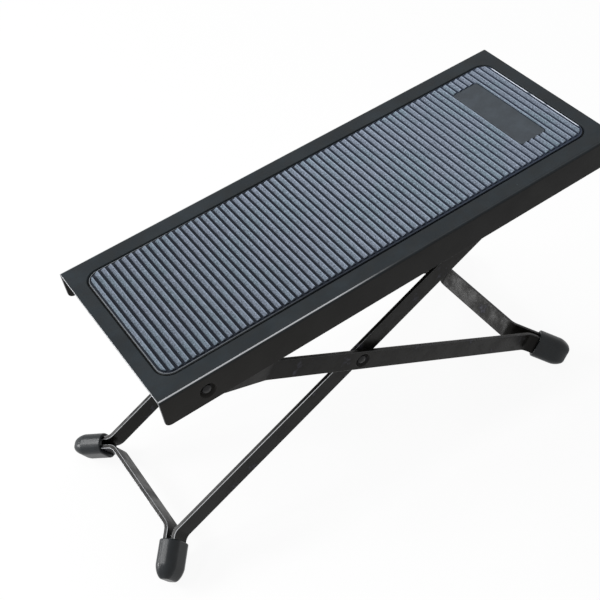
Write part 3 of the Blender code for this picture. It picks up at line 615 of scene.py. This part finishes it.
def mat_rubber(name, sizes, platform):
    """Moulded rubber: coarse grain, faint patches, lighter ridges as wear and painted highlight, dark
    grooves as dust and painted shade (lighter towards the right end), painted shade over the ribs towards
    the left end, a painted highlight on the border and a painted glint at the right end.
    """
    finish = Finish(name, specular=0.2, bench=PLATFORM_BENCH)
    half_x, half_y, corner = mat_outline(platform)
    along = finish.axis("X")
    height = (finish.axis("Z") - (SEAT + sizes.base - platform.recess_depth)) * (1 / sizes.rise)
    # Painted highlight and wear: the ridges lighter; dust and painted shade: the grooves darker.
    ridge = height.between(0.92, 1.0)
    groove = height.between(0.60, 0.32)
    beyond_x = (abs(along) - (half_x - corner)).larger(0)
    beyond_y = (abs(finish.axis("Y")) - (half_y - corner)).larger(0)
    reach = (beyond_x * beyond_x + beyond_y * beyond_y).root()
    # Painted highlight: a pale line on the border's crest, brightest at the left end.
    border_highlight = reach.between(corner - sizes.border, corner - sizes.border * 0.7)
    border_highlight = border_highlight * (0.12 + 0.88 * along.between(-half_x / 4, -half_x * 0.9))
    mottle = finish.grain(MOTTLE, detail=3)
    # Painted highlight: a bright broken glint in the last groove at the right end.
    last_groove = along.between(half_x - sizes.border * 1.9, half_x - sizes.border * 1.6)
    painted_glint = last_groove * height.between(0.05, 0.15)
    painted_glint = painted_glint * mottle.between(0.36, 0.44) * beyond_y.between(sizes.border * 2, 0)
    grain = finish.grain(RIB_GRAIN, detail=3, roughness=0.75)
    patches = finish.grain(RIB_PATCH, detail=3)
    base = finish.mixed(patches.between(0.42, 0.62), sizes.rubber, sizes.tint)
    base = finish.mixed(grain.between(0.32, 0.50), scaled(sizes.rubber, 0.30), base)
    base = finish.mixed(grain.between(0.50, 0.72), base, scaled(sizes.rubber, 2.1))
    base = finish.mixed(ridge * 0.6, base, scaled(sizes.rubber, 2.2))
    # Painted shade: the ribs darker towards the left end, and the grooves' shade lighter towards the right
    # end.
    base = finish.mixed(along.between(half_x / 4, -half_x) * 0.28, base, sizes.groove_dust_and_shade)
    deep_groove_shade = finish.shades(along.between(-half_x / 2, half_x), sizes.groove_dust_and_shade, 1, 3)
    base = finish.mixed(groove, base, deep_groove_shade)
    base = finish.mixed(border_highlight, base, sizes.lip_highlight_tone)
    tone = finish.mixed(painted_glint, base, PAINTED_GLINT_TONE)
    return finish.coat(tone, 0.74 - ridge * 0.16 + grain * 0.06, grain, RIB_GRAIN_DEPTH)


def smooth_rubber(name, tone, grain_depth, roughness, specular):
    """Close-grained moulded rubber with a soft sheen."""
    finish = Finish(name, specular)
    grain = finish.grain(RUBBER_GRAIN, detail=3, roughness=0.6)
    patches = finish.grain(RUBBER_PATCH, detail=4, roughness=0.6)
    base = finish.shades(patches.between(0.3, 0.75), tone, 0.85, 1.22)
    return finish.coat(base, roughness + patches * 0.12 - 0.06, grain, grain_depth)


def blackened_steel(name, tone):
    """Blackened rivet steel with a faint turned grain."""
    finish = Finish(name, specular=0.25, metallic=0.3)
    mottle = finish.grain(STEEL_GRAIN, detail=3)
    scuffs = finish.grain(STEEL_SCUFF).between(0.62, 0.80)
    base = finish.shades(scuffs, tone, 0.9, 3.0)
    return finish.coat(base, 0.28 + mottle * 0.16, mottle, STEEL_GRAIN_DEPTH)


def zinc_plate(name, tone):
    """Bright zinc plating with dull spangles."""
    finish = Finish(name, metallic=1.0)
    spangle = finish.pits(SPANGLE)
    return finish.coat(finish.shades(spangle.between(0.1, 0.9), tone, 0.75, 1.25), 0.30 + spangle * 0.20)


# Platform

SHEET_EDGE = 0.00035
EDGE_STEPS = 4
CUT_STEPS = 3
ROUND_STEPS = 12
RECESS_RUN = 0.0011
DIMPLE_DEPTH = 0.0020
DIMPLE_FLOOR_SHARE = 0.62
WALL_STEPS = 10


def sheet_section(sizes, along, inset, bottom):
    """Outline of the folded sheet at one place, drawn in by an inset at the cut ends."""
    half_sheet = sizes.sheet / 2
    radius = sizes.bend - half_sheet
    thick = half_sheet - inset
    edge = min(SHEET_EDGE, thick)
    corner = (sizes.width / 2 - sizes.bend, -sizes.bend)
    low = bottom + inset + edge
    line = sizes.width / 2 - half_sheet
    far = arc((line - thick + edge, low), edge, 2 * QUARTER, 3 * QUARTER, CUT_STEPS)
    far += arc((line + thick - edge, low), edge, 3 * QUARTER, 4 * QUARTER, CUT_STEPS)
    far += arc(corner, radius + thick, 0, QUARTER)
    under = arc(corner, radius - thick, QUARTER, 0)
    outline = far + [(-y, z) for y, z in reversed(far)] + [(-y, z) for y, z in reversed(under)] + under
    return [(along, y, z) for y, z in outline]


def sheet_stations(sizes):
    """Distances from a cut end, with the inset and the flange's bottom there."""
    places = [SHEET_EDGE * (1 - cosine) for cosine, _ in quarter(EDGE_STEPS)]
    places += [sizes.corner * (1 - cosine) for cosine, _ in quarter(ROUND_STEPS, 1)]
    stations = []
    for away in sorted(places):
        inset = SHEET_EDGE * (1 - math.sqrt(1 - max(0, 1 - away / SHEET_EDGE) ** 2))
        lean = sizes.corner - away
        rise = sizes.corner - math.sqrt(max(0, sizes.corner**2 - lean**2))
        stations.append((away, inset, rise - sizes.flange))
    return stations


def soft_wall(run, depth):
    """A pressed wall's (run, depth) points: flat, then down, then flat again."""
    shares = [step / WALL_STEPS for step in range(WALL_STEPS + 1)]
    return [(run * down, depth * (down * down * (3 - 2 * down))) for down in shares]


def dimple_meshes(name, centre, face, thickness, radius, depth, hole):
    """The bump inside and the dish outside of a pressed dimple, on both sides of the footrest."""
    inner = face - thickness
    wall = soft_wall(radius - radius * DIMPLE_FLOOR_SHARE, depth)
    foot = radius + thickness / 4
    root = inner + thickness * EMBED_SHARE
    bump = [(0, inner - depth)] + [(foot - run, inner - down) for run, down in reversed(wall)]
    bump += [(foot, root), (0, root)]
    dish = [(0, face + OVERRUN), (radius, face + OVERRUN)]
    dish += [(radius - run, face - down) for run, down in wall]
    dish += [(hole, face - depth), (hole, inner - depth - OVERRUN), (0, inner - depth - OVERRUN)]
    pairs = [[spin(name, profile, centre, side) for side in (-1, 1)] for profile in (bump, dish)]
    return [joined(name, pair) for pair in pairs]


def platform_mesh(sizes, rivets):
    """The pressed platform: a folded sheet with round corners, a mat recess and two dimples."""
    half = sizes.length / 2
    stations = sheet_stations(sizes)
    rings = [sheet_section(sizes, away - half, inset, bottom) for away, inset, bottom in stations]
    rings += [sheet_section(sizes, half - away, inset, bottom) for away, inset, bottom in reversed(stations)]
    recess = (half - sizes.recess_end, sizes.width / 2 - sizes.recess_side, sizes.recess_corner)
    wall = soft_wall(RECESS_RUN, sizes.recess_depth)
    sheet = sizes.sheet
    pan = [(-sheet, -sheet * EMBED_SHARE)] + [(run - sheet, -sheet - down) for run, down in wall]
    dish = [(0, OVERRUN)] + [(run, -down) for run, down in wall]
    centre = (PIVOT_ON_PLATFORM.x, PIVOT_ON_PLATFORM.z)
    hole = rivets.shank + HOLE_PLAY
    bumps, dishes = dimple_meshes(
        "flange_dimple", centre, sizes.width / 2, sheet, sizes.dimple, DIMPLE_DEPTH, hole
    )
    steps = [("UNION", terraced("recess_pan", *recess, pan))]
    steps += [("DIFFERENCE", terraced("recess_dish", *recess, dish))]
    return carved(loft("platform_shell", rings), steps + [("UNION", bumps), ("DIFFERENCE", dishes)])


# Mat

MAT_PLAY = 0.0004
BORDER_RISE = 0.00035
BORDER_STEPS = 8
RIB_SHARES = (
    ((0.18, 0.00), (0.20, 0.22), (0.24, 0.38), (0.31, 0.50), (0.40, 0.62), (0.49, 0.73), (0.57, 0.84))
    + ((0.65, 0.94), (0.70, 0.985), (0.74, 1.00), (0.78, 0.985), (0.82, 0.92), (0.85, 0.72), (0.87, 0.00))
)
RIB_END = 0.0006
RIB_END_SHARES = ((0.0, 0.0), (0.0, 0.66), (0.10, 0.82), (0.30, 0.93), (0.60, 0.985), (1.0, 1.0))
RIB_STRETCHES = 14
FIRST_RIB_SHARE = 0.65
WAVER = 0.00006
WAVER_REACH = 0.018
PANEL_CORNER = 0.0022
PANEL_OFF_AXIS = 0.0018
PANEL_RISE = 0.0007
PANEL_GROOVE = 0.0004


def field_reach(along, half_x, half_y, corner):
    """How far the rib field reaches across at a place along the platform."""
    beyond = abs(along) - (half_x - corner)
    if beyond <= 0:
        return half_y
    if beyond > corner - MERGE:
        return 0
    return half_y - corner + math.sqrt(corner**2 - beyond**2)


def rib_mesh(sizes, start, top, field):
    """One rib across the mat, its ends rounded down and following the field's outline."""
    half_x, half_y, corner = field
    root = -sizes.base * EMBED_SHARE
    ends = [(share_in * RIB_END, rise) for share_in, rise in RIB_END_SHARES]
    profile = []
    for along, rise in RIB_SHARES:
        x = start + along * sizes.pitch
        height = rise * sizes.rise
        if x > half_x:
            height = min(height, profile[-1][1])
        profile.append((max(-half_x, min(half_x, x)), height))
    profile = [(profile[0][0], root)] + profile + [(profile[-1][0], root)]

    def ring(across, back, lift):
        loop = []
        for x, z in profile:
            y = across * max(0, field_reach(x, half_x, half_y, corner) - back)
            sway = WAVER * noise.noise((start / WAVER_REACH, y / WAVER_REACH, 0)) if z > 0 else 0
            loop.append((x + sway, y, top + (z * lift if z > 0 else z)))
        return loop

    rings = [ring(-1, back, lift) for back, lift in ends]
    for step in range(1, RIB_STRETCHES):
        rings.append(ring(2 * step / RIB_STRETCHES - 1, RIB_END, 1))
    return loft("rib", rings + [ring(1, back, lift) for back, lift in reversed(ends)])


def mat_outline(platform):
    """Half the mat's length, half its width, and its corner radius."""
    inset = RECESS_RUN + MAT_PLAY
    half_x = platform.length / 2 - platform.recess_end - inset
    half_y = platform.width / 2 - platform.recess_side - inset
    return half_x, half_y, platform.recess_corner - inset


def mat_meshes(sizes, platform):
    """The mat with its border and ribs, and its smooth panel."""
    outline = mat_outline(platform)
    half_x, half_y, corner = outline
    bottom = SEAT - platform.recess_depth
    top = bottom + sizes.base
    bead = sizes.border / 2
    crown = arc((bead, top + BORDER_RISE - bead), bead, 2 * QUARTER, 0, BORDER_STEPS)
    base = terraced("mat_base", *outline, [(0, bottom)] + crown + [(sizes.border, top)])

    inset = sizes.border + sizes.groove
    field = (half_x - inset, half_y - inset, corner - inset)
    to_border = (half_x - sizes.border, *field[1:])
    first = -field[0] + sizes.pitch * (FIRST_RIB_SHARE - 1)
    count = int((field[0] - first) / sizes.pitch) + 1
    near_panel = sizes.panel_length / 2 + PANEL_GROOVE + sizes.pitch / 2
    whole = []
    cut = []
    for index in range(count):
        start = first + index * sizes.pitch
        rib = rib_mesh(sizes, start, top, field if index < count - 1 else to_border)
        meets = abs(start + sizes.pitch / 2 - sizes.panel_place) < near_panel
        (cut if meets else whole).append(rib)

    panel = (sizes.panel_length / 2, sizes.panel_width / 2, PANEL_CORNER)
    place = (sizes.panel_place, PANEL_OFF_AXIS)
    well = [(-PANEL_GROOVE, height) for height in (bottom, top + sizes.rise + OVERRUN)]
    tool = terraced("panel_well", *panel, well, place)
    cut_ribs = carved(joined("panel_ribs", cut), [("DIFFERENCE", tool)])
    edge = PANEL_RISE / 3
    rim = arc((edge, top + PANEL_RISE - edge), edge, 2 * QUARTER, QUARTER, EDGE_STEPS)
    pad = terraced("mat_panel", *panel, [(0, top - sizes.base * EMBED_SHARE)] + rim, place)
    return joined("ribbed_mat", [base, cut_ribs] + whole), pad


# Strap frames

JOGGLE_START = 0.0150
JOGGLE_END = 0.0460
JOGGLE_BEND = 0.0140
EAR_HALF_GAP = 0.0016
EAR_DEPTH = 0.0167
TIP_STEPS = 14
STRAP_ROUND = 4


def bent_line(corners):
    """A line through (x, y, radius) corners as (point, direction) pairs, bent at each inner one."""
    places = [Vector(corner[:2]) for corner in corners]
    ways = [(after - before).normalized() for before, after in zip(places, places[1:])]
    line = [(places[0], ways[0])]
    for corner, place, incoming, outgoing in zip(corners[1:], places[1:], ways, ways[1:]):
        radius = corner[2]
        cross = incoming.x * outgoing.y - incoming.y * outgoing.x
        turn = math.atan2(cross, incoming.dot(outgoing))
        start = place - incoming * radius * math.tan(abs(turn) / 2)
        centre = start + Vector((-incoming.y, incoming.x)) * math.copysign(radius, turn)
        for step in range(ARC_STEPS + 1):
            spun = Matrix.Rotation(turn * step / ARC_STEPS, 2)
            line.append((centre + spun @ (start - centre), spun @ incoming))
    return line + [(places[-1], ways[-1])]


def frame_line(sizes, corners, bar, cap, spread, line):
    """The bent middle line of a frame's far half, from its upper end to the crossbar's middle."""
    along = Vector((math.cos(sizes.ear_angle), math.sin(sizes.ear_angle)))
    aside = Vector((-along.y, along.x))
    offset = EAR_HALF_GAP + sizes.strap / 2
    mouth = Vector((bar + cap, spread))
    leg_side = mouth + aside * offset
    bar_side = mouth - aside * offset
    ear_bend = leg_side + along * ((line - leg_side.y) / along.y)
    bar_bend = bar_side + along * ((bar - bar_side.x) / along.x)
    fold = mouth + along * (EAR_DEPTH - offset - sizes.strap / 2)
    down = bent_line(corners + [(*ear_bend, sizes.bend), tuple(fold + aside * offset)])
    turned_line = []
    steps = 2 * ARC_STEPS
    for step in range(1, steps):
        spun = Matrix.Rotation(-2 * QUARTER * step / steps, 2)
        turned_line.append((fold + spun @ (aside * offset), spun @ along))
    back = bent_line([tuple(fold - aside * offset), (*bar_bend, sizes.bend), (bar, 0)])
    return down + turned_line + back


def strap_mesh(name, sizes, far_half, sign, top):
    """A frame swept along its middle line, with a round upper end on each side."""
    half = sizes.width / 2
    stations = []
    for cosine, sine in quarter(TIP_STEPS, 1):
        away = half * (1 - cosine)
        short = max(0, 1 - away / sizes.edge)
        fullness = 1 - sizes.edge / (sizes.strap / 2) * (1 - math.sqrt(1 - short**2))
        place = Vector((top - half + away, far_half[0][0].y))
        stations.append((place, far_half[0][1], half * sine, fullness))
    stations += [(point, direction, half, 1) for point, direction in far_half[1:]]
    stations += [
        (Vector((point.x, -point.y)), Vector((-direction.x, direction.y)), size, fullness)
        for point, direction, size, fullness in reversed(stations[:-1])
    ]
    rings = []
    for point, direction, size, fullness in stations:
        normal = Vector((-direction.y, direction.x))
        thick = sizes.strap / 2 * fullness
        section = rounded_rectangle(thick, size, min(sizes.edge, thick, size), STRAP_ROUND)
        places = [(point + normal * off, high) for off, high in section]
        rings.append([(sign * place.x, place.y, high) for place, high in places])
    return loft(name, rings)


def outer_frame_mesh(sizes, platform, rivets):
    """The outer frame: stepped legs, folded ears, and a dimple round each scissor rivet."""
    line = sizes.outer_face - sizes.strap / 2
    pivot_line = platform.width / 2 - platform.sheet - DIMPLE_DEPTH - SEAT - sizes.strap / 2
    corners = [(0, pivot_line, 0), (JOGGLE_START, pivot_line, JOGGLE_BEND), (JOGGLE_END, line, JOGGLE_BEND)]
    bar = PIVOT_TO_SCISSOR + sizes.outer_bar
    path = frame_line(sizes, corners, bar, sizes.outer_cap, sizes.outer_spread, line)
    hole = rivets.shank + HOLE_PLAY
    place = (PIVOT_TO_SCISSOR, 0)
    rise = sizes.play - SEAT
    bumps, dishes = dimple_meshes(
        "strap_dimple", place, sizes.outer_face, sizes.strap, sizes.dimple, rise, hole
    )
    steps = [("DIFFERENCE", drill(hole, platform.width / 2, 0)), ("UNION", bumps), ("DIFFERENCE", dishes)]
    return carved(strap_mesh("outer_strap", sizes, path, 1, 0), steps)


def inner_frame_mesh(sizes, rivets):
    """The inner frame: straight legs, folded ears, and holes for the rivets and the cross rod."""
    line = sizes.outer_face - sizes.strap - sizes.play - sizes.strap / 2
    corners = [(-SCISSOR_TO_ROD, line, 0)]
    path = frame_line(sizes, corners, sizes.inner_bar, sizes.inner_cap, sizes.inner_spread, line)
    strap = strap_mesh("inner_strap", sizes, path, -1, -SCISSOR_TO_ROD)
    holes = ((0, rivets.shank), (SCISSOR_TO_ROD, ROD_NECK))
    drills = [drill(radius + HOLE_PLAY, sizes.outer_face, place) for place, radius in holes]
    return carved(strap, [("DIFFERENCE", joined("strap_drills", drills))])


# Rivets and rod

TAIL = 0.0031
TAIL_RISE = 0.0013
TAIL_STEPS = 8
WASHER = 0.0008
ROD_NECK = 0.0019
ROD_HEAD = 0.0034
ROD_HEAD_RISE = 0.0010


def dome(radius, rise, foot):
    """The profile of a domed head, from its crown to its foot."""
    return [(radius * sine, foot + rise * cosine) for cosine, sine in quarter(ROUND_STEPS)]


def rivet_mesh(name, sizes, face, stack, centre, side):
    """A rivet: domed head in its dimple, shank, and a clinched tail inside the washer."""
    head_foot = face + SEAT
    tail_top = stack - SEAT - WASHER - SEAT
    profile = dome(sizes.head, sizes.head_rise, head_foot)
    profile += [(sizes.shank, head_foot), (sizes.shank, tail_top), (TAIL, tail_top)]
    for cosine, sine in quarter(TAIL_STEPS, 1):
        profile.append((TAIL * (1 + cosine) / 2, tail_top - TAIL_RISE * sine))
    profile.append((0, tail_top - TAIL_RISE))
    return spin(name, profile, centre, side)


def rod_mesh(rivets, frames):
    """The cross rod with its shouldered, riveted ends."""
    inner_face = frames.outer_face - frames.strap - frames.play
    shoulder = inner_face - frames.strap - SEAT
    under_head = inner_face + SEAT
    chamfer = (rivets.rod - ROD_NECK) / 3
    half = dome(ROD_HEAD, ROD_HEAD_RISE, under_head) + [(ROD_NECK, under_head), (ROD_NECK, shoulder)]
    half += [(rivets.rod - chamfer, shoulder), (rivets.rod, shoulder - chamfer)]
    profile = half + [(radius, -away) for radius, away in reversed(half)]
    return spin("cross_rod", profile, (SCISSOR_TO_ROD, 0), 1)


# Foot caps

CAP_RIM = 0.0008
CAP_RIM_STEPS = 6
CAP_END_WALL = 0.0050
CAP_STATIONS = 22
CAP_ROUND = 12
CAP_TIP_POWER = 1.25
POCKET_ROUND = 6
SEAM = 0.00008
SEAM_HALF_WIDTH = 0.00025


def cap_section(sizes, inset, seam):
    """A section with round corners and a moulding seam along the middle of its narrow sides."""
    half_y = sizes.thickness / 2 - inset
    half_z = sizes.height / 2 - inset
    outline = rounded_rectangle(half_y, half_z, sizes.corner - inset, CAP_ROUND)
    side = CAP_ROUND + 1
    upper = [(SEAM_HALF_WIDTH, half_z), (0, half_z + seam), (-SEAM_HALF_WIDTH, half_z)]
    lower = [(-y, -z) for y, z in upper]
    return outline[:side] + upper + outline[side : 3 * side] + lower + outline[3 * side :]


def cap_mesh(name, sizes, frames, floor_normal, floor_offset):
    """A rubber foot cap: soft mouth, round tip, pocket for the ear, and a foot cut flat at the floor."""
    stations = arc((CAP_RIM, CAP_RIM), CAP_RIM, 2 * QUARTER, 3 * QUARTER, CAP_RIM_STEPS)
    for cosine, sine in quarter(CAP_STATIONS):
        along = sizes.length - sizes.tip_run * (1 - sine**CAP_TIP_POWER)
        stations.append((along, sizes.tip_inset * (1 - max(0, cosine) ** CAP_TIP_POWER)))
    rings = []
    for along, inset in stations:
        seam = SEAM if inset < CAP_RIM / 3 else 0
        rings.append([(along, y, z) for y, z in cap_section(sizes, inset, seam)])
    half_y = EAR_HALF_GAP + frames.strap + SEAT
    mouth = rounded_rectangle(half_y, frames.width / 2 + SEAT, frames.edge * 2, POCKET_ROUND)
    pocket = [[(along, y, z) for y, z in mouth] for along in (-OVERRUN, sizes.length - CAP_END_WALL)]
    work = bmesh.new()
    work.from_mesh(carved(loft(name, rings), [("DIFFERENCE", loft("ear_pocket", pocket))]))
    geometry = work.verts[:] + work.edges[:] + work.faces[:]
    floor = floor_normal * floor_offset
    cut = bmesh.ops.bisect_plane(
        work, geom=geometry, plane_co=floor, plane_no=-floor_normal, clear_outer=True
    )
    rim_edges = [item for item in cut["geom_cut"] if isinstance(item, bmesh.types.BMEdge)]
    bmesh.ops.holes_fill(work, edges=rim_edges, sides=0)
    bmesh.ops.recalc_face_normals(work, faces=work.faces)
    return settle(name, work)


def cap_bench(bench, frames, sign, far, bar, cap, spread):
    """A cap's bench: at the ear's mouth, along the ear."""
    turn = frames.ear_angle if sign > 0 else 2 * QUARTER - frames.ear_angle
    mouth = (sign * (bar + cap), far * spread, 0)
    return bench @ Matrix.Translation(mouth) @ Matrix.Rotation(far * turn, 4, "Z")


# Operators


class FOOTREST_OT_platform(bpy.types.Operator):
    """Model and paint the pressed platform and paint its rack rails"""

    bl_idname = "footrest.platform"
    bl_label = "Platform"

    def execute(self, context):
        sizes = context.scene.footrest_platform
        paint = platform_paint("platform_powder_paint", sizes)
        mesh = platform_mesh(sizes, context.scene.footrest_rivets)
        piece("platform_shell", mesh, PLATFORM_BENCH, "platform", "platform_paint", paint, "platform")
        rail_paint = plain_paint("rail_paint", scaled(sizes.paint, 0.9))
        for label in ("near", "far"):
            dress("rack_rail_" + label, rail_paint)
        return {"FINISHED"}


class FOOTREST_OT_mat(bpy.types.Operator):
    """Model the ribbed rubber mat with its smooth panel"""

    bl_idname = "footrest.mat"
    bl_label = "Mat"

    def execute(self, context):
        sizes = context.scene.footrest_mat
        platform = context.scene.footrest_platform
        ribbed, panel = mat_meshes(sizes, platform)
        rubber = mat_rubber("rib_rubber", sizes, platform)
        bench = PLATFORM_BENCH
        piece("ribbed_mat", ribbed, bench, "platform", "mat_rubber", rubber, "rubber_mat", even=False)
        look = {"grain_depth": PANEL_GRAIN_DEPTH, "roughness": 0.55, "specular": 0.30}
        smooth = smooth_rubber("panel_rubber", sizes.panel_rubber, **look)
        piece("mat_panel", panel, bench, "platform", "mat_rubber", smooth)
        return {"FINISHED"}


class FOOTREST_OT_frames(bpy.types.Operator):
    """Model and paint the outer and the inner strap frame"""

    bl_idname = "footrest.frames"
    bl_label = "Leg frames"

    def execute(self, context):
        scene = context.scene
        sizes = scene.footrest_frames
        outer = outer_frame_mesh(sizes, scene.footrest_platform, scene.footrest_rivets)
        fade = (sizes.outer_bar * 2, sizes.outer_bar * 3)
        paint = strap_paint("outer_strap_paint", sizes, OUTER_BENCH, fade)
        piece("outer_strap", outer, OUTER_BENCH, "outer_leg", "leg_paint", paint, "outer_leg_frame")
        inner = inner_frame_mesh(sizes, scene.footrest_rivets)
        fade = (sizes.inner_bar / 6, -sizes.inner_bar / 4)
        paint = strap_paint("inner_strap_paint", sizes, INNER_BENCH, fade)
        piece("inner_strap", inner, INNER_BENCH, "inner_leg", "leg_paint", paint, "inner_leg_frame")
        return {"FINISHED"}


class FOOTREST_OT_rivets(bpy.types.Operator):
    """Model the rivets and the cross rod, and plate the washers"""

    bl_idname = "footrest.rivets"
    bl_label = "Rivets and rod"

    def execute(self, context):
        scene = context.scene
        sizes = scene.footrest_rivets
        frames = scene.footrest_frames
        platform = scene.footrest_platform
        steel = blackened_steel("rivet_steel_black", sizes.steel)
        zinc = zinc_plate("washer_zinc", sizes.zinc)
        inner_stack = frames.outer_face - 2 * frames.strap - frames.play
        flange_floor = platform.width / 2 - DIMPLE_DEPTH
        pivot_stack = flange_floor - platform.sheet - SEAT - frames.strap
        strap_floor = frames.outer_face - (frames.play - SEAT)
        on_platform = (PIVOT_ON_PLATFORM.x, PIVOT_ON_PLATFORM.z)
        for label, side in (("near", -1), ("far", 1)):
            name = "platform_rivet_" + label
            mesh = rivet_mesh(name, sizes, flange_floor, pivot_stack, on_platform, side)
            piece(name + "_dome", mesh, PLATFORM_BENCH, "platform", "rivet_steel", steel, name)
            dress(name + "_washer", zinc)
            name = "scissor_rivet_" + label
            mesh = rivet_mesh(name, sizes, strap_floor, inner_stack, (PIVOT_TO_SCISSOR, 0), side)
            piece(name + "_dome", mesh, OUTER_BENCH, "outer_leg", "rivet_steel", steel, name)
            dress(name + "_washer", zinc)
        rod = rod_mesh(sizes, frames)
        paint = plain_paint("rod_paint", frames.paint)
        piece("cross_rod", rod, INNER_BENCH, "inner_leg", "leg_paint", paint, "height_rod")
        return {"FINISHED"}


class FOOTREST_OT_caps(bpy.types.Operator):
    """Model the four rubber foot caps"""

    bl_idname = "footrest.caps"
    bl_label = "Foot caps"

    def execute(self, context):
        sizes = context.scene.footrest_caps
        frames = context.scene.footrest_frames
        look = {"grain_depth": CAP_GRAIN_DEPTH, "roughness": 0.33, "specular": 0.25}
        rubber = smooth_rubber("cap_moulded_rubber", sizes.rubber, **look)
        outer_bar = PIVOT_TO_SCISSOR + frames.outer_bar
        places = (
            ("right", OUTER_BENCH, "outer_leg", 1, outer_bar, frames.outer_cap, frames.outer_spread),
            ("left", INNER_BENCH, "inner_leg", -1, frames.inner_bar, frames.inner_cap, frames.inner_spread),
        )
        for end, bench, body, sign, bar, cap, spread in places:
            for label, far in (("near", -1), ("far", 1)):
                stand = cap_bench(bench, frames, sign, far, bar, cap, spread)
                up = stand.to_3x3().inverted() @ Vector((0, 0, 1))
                name = f"cap_{end}_{label}"
                mesh = cap_mesh(name, sizes, frames, up, -stand.translation.z)
                node = f"foot_cap_{end}_{label}"
                piece(name, mesh, stand, body, "cap_rubber", rubber, node)
        return {"FINISHED"}


# Studio

FLOOR_SIZE = 12
FLOOR_GLOW = 0.93
MIDDLE = (0, 0, 0.10)
LAMPS = (
    ("key_lamp", (0.12, 0.12, 1.36), (0.12, 0.119, 0), (0.64, 0.14), 5.0),
    ("rim_lamp", (-0.88, 0.70, 0.73), MIDDLE, (0.50, 0.20), 9.0),
    ("cap_lamp", (-0.80, 0.33, 0.98), MIDDLE, (0.26, 0.12), 3.0),
    ("low_softbox", (-1.02, 0.62, 0.12), MIDDLE, (0.40, 0.18), 6.5),
)
CAMERA_PLACE = (-0.2264, -0.3735, 0.4008)
CAMERA_RIGHT = (0.8223, -0.55743, -0.11442)
CAMERA_FORWARD = (0.30653, 0.60331, -0.73625)


def add_camera(lens):
    """The camera, placed on the platform's bench as the photograph was taken."""
    data = bpy.data.cameras.new("camera")
    data.lens = lens
    data.clip_start = 0.01
    camera = placed("camera", data)
    right = Vector(CAMERA_RIGHT).normalized()
    back = -Vector(CAMERA_FORWARD).normalized()
    up = back.cross(right)
    pose = Matrix((right, up, back)).transposed().to_4x4()
    camera.matrix_world = PLATFORM_BENCH @ Matrix.Translation(CAMERA_PLACE) @ pose
    bpy.context.scene.camera = camera


def add_softbox(name, place, target, size, power):
    """A large soft lamp that faces a point."""
    data = bpy.data.lights.new(name, "AREA")
    data.shape = "RECTANGLE"
    data.size, data.size_y = size
    data.energy = power
    lamp = placed(name, data)
    lamp.location = place
    lamp.rotation_euler = (Vector(target) - Vector(place)).to_track_quat("-Z", "Y").to_euler()


def add_floor(tone):
    """A pale floor that shows white and keeps a soft shadow."""
    half = FLOOR_SIZE / 2
    corners = [(-half, -half, 0), (half, -half, 0), (half, half, 0), (-half, half, 0)]
    mesh = mesh_from("floor", corners, [(0, 1, 2, 3)])
    finish = Finish("studio_floor", specular=0.0)
    mesh.materials.append(finish.coat(tone, 0.9))
    finish.show_white("Emission", Signal(finish, finish.shader.outputs["BSDF"]), FLOOR_GLOW)
    floor = placed("floor", mesh)


def add_world(grey):
    """Surroundings that show white and light the pieces with a plain grey."""
    world = bpy.data.worlds.new("studio")
    world.use_nodes = True
    board = Board(world.node_tree)
    lit = board.tree.nodes["Background"]
    board.feed(lit.inputs["Color"], grey)
    board.show_white("Background", Signal(board, lit.outputs["Background"]))
    bpy.context.scene.world = world


class FOOTREST_OT_studio(bpy.types.Operator):
    """Lay the floor, light the studio and place the camera"""

    bl_idname = "footrest.studio"
    bl_label = "Studio"

    def execute(self, context):
        sizes = context.scene.footrest_studio
        add_floor(sizes.floor)
        add_world(sizes.world)
        for name, place, target, size, power in LAMPS:
            add_softbox(name, place, target, size, power * sizes.light)
        add_camera(sizes.lens)
        context.scene.view_settings.view_transform = "Standard"
        return {"FINISHED"}


class FOOTREST_PT_panel(bpy.types.Panel):
    """Lists the footrest's operators"""

    bl_idname = "FOOTREST_PT_panel"
    bl_label = "Guitar Footrest"
    bl_space_type = "VIEW_3D"
    bl_region_type = "UI"
    bl_category = "Footrest"

    def draw(self, context):
        for operator in OPERATORS:
            self.layout.operator(operator.bl_idname)


GROUPS = {
    "footrest_platform": FootrestPlatform,
    "footrest_mat": FootrestMat,
    "footrest_frames": FootrestFrames,
    "footrest_rivets": FootrestRivets,
    "footrest_caps": FootrestCaps,
    "footrest_studio": FootrestStudio,
}
OPERATORS = (
    FOOTREST_OT_platform,
    FOOTREST_OT_mat,
    FOOTREST_OT_frames,
    FOOTREST_OT_rivets,
    FOOTREST_OT_caps,
    FOOTREST_OT_studio,
)


def register():
    """Adds the properties, the operators and the panel."""
    for name, group in GROUPS.items():
        bpy.utils.register_class(group)
        setattr(bpy.types.Scene, name, PointerProperty(type=group))
    for operator in OPERATORS:
        bpy.utils.register_class(operator)
    bpy.utils.register_class(FOOTREST_PT_panel)


def unregister():
    """Takes them away again."""
    bpy.utils.unregister_class(FOOTREST_PT_panel)
    for operator in reversed(OPERATORS):
        bpy.utils.unregister_class(operator)
    for name, group in reversed(GROUPS.items()):
        delattr(bpy.types.Scene, name)
        bpy.utils.unregister_class(group)


def main():
    """Builds every piece and the studio."""
    register()
    bpy.ops.footrest.platform()
    bpy.ops.footrest.mat()
    bpy.ops.footrest.frames()
    bpy.ops.footrest.rivets()
    bpy.ops.footrest.caps()
    bpy.ops.footrest.studio()


if __name__ == "__main__":
    main()
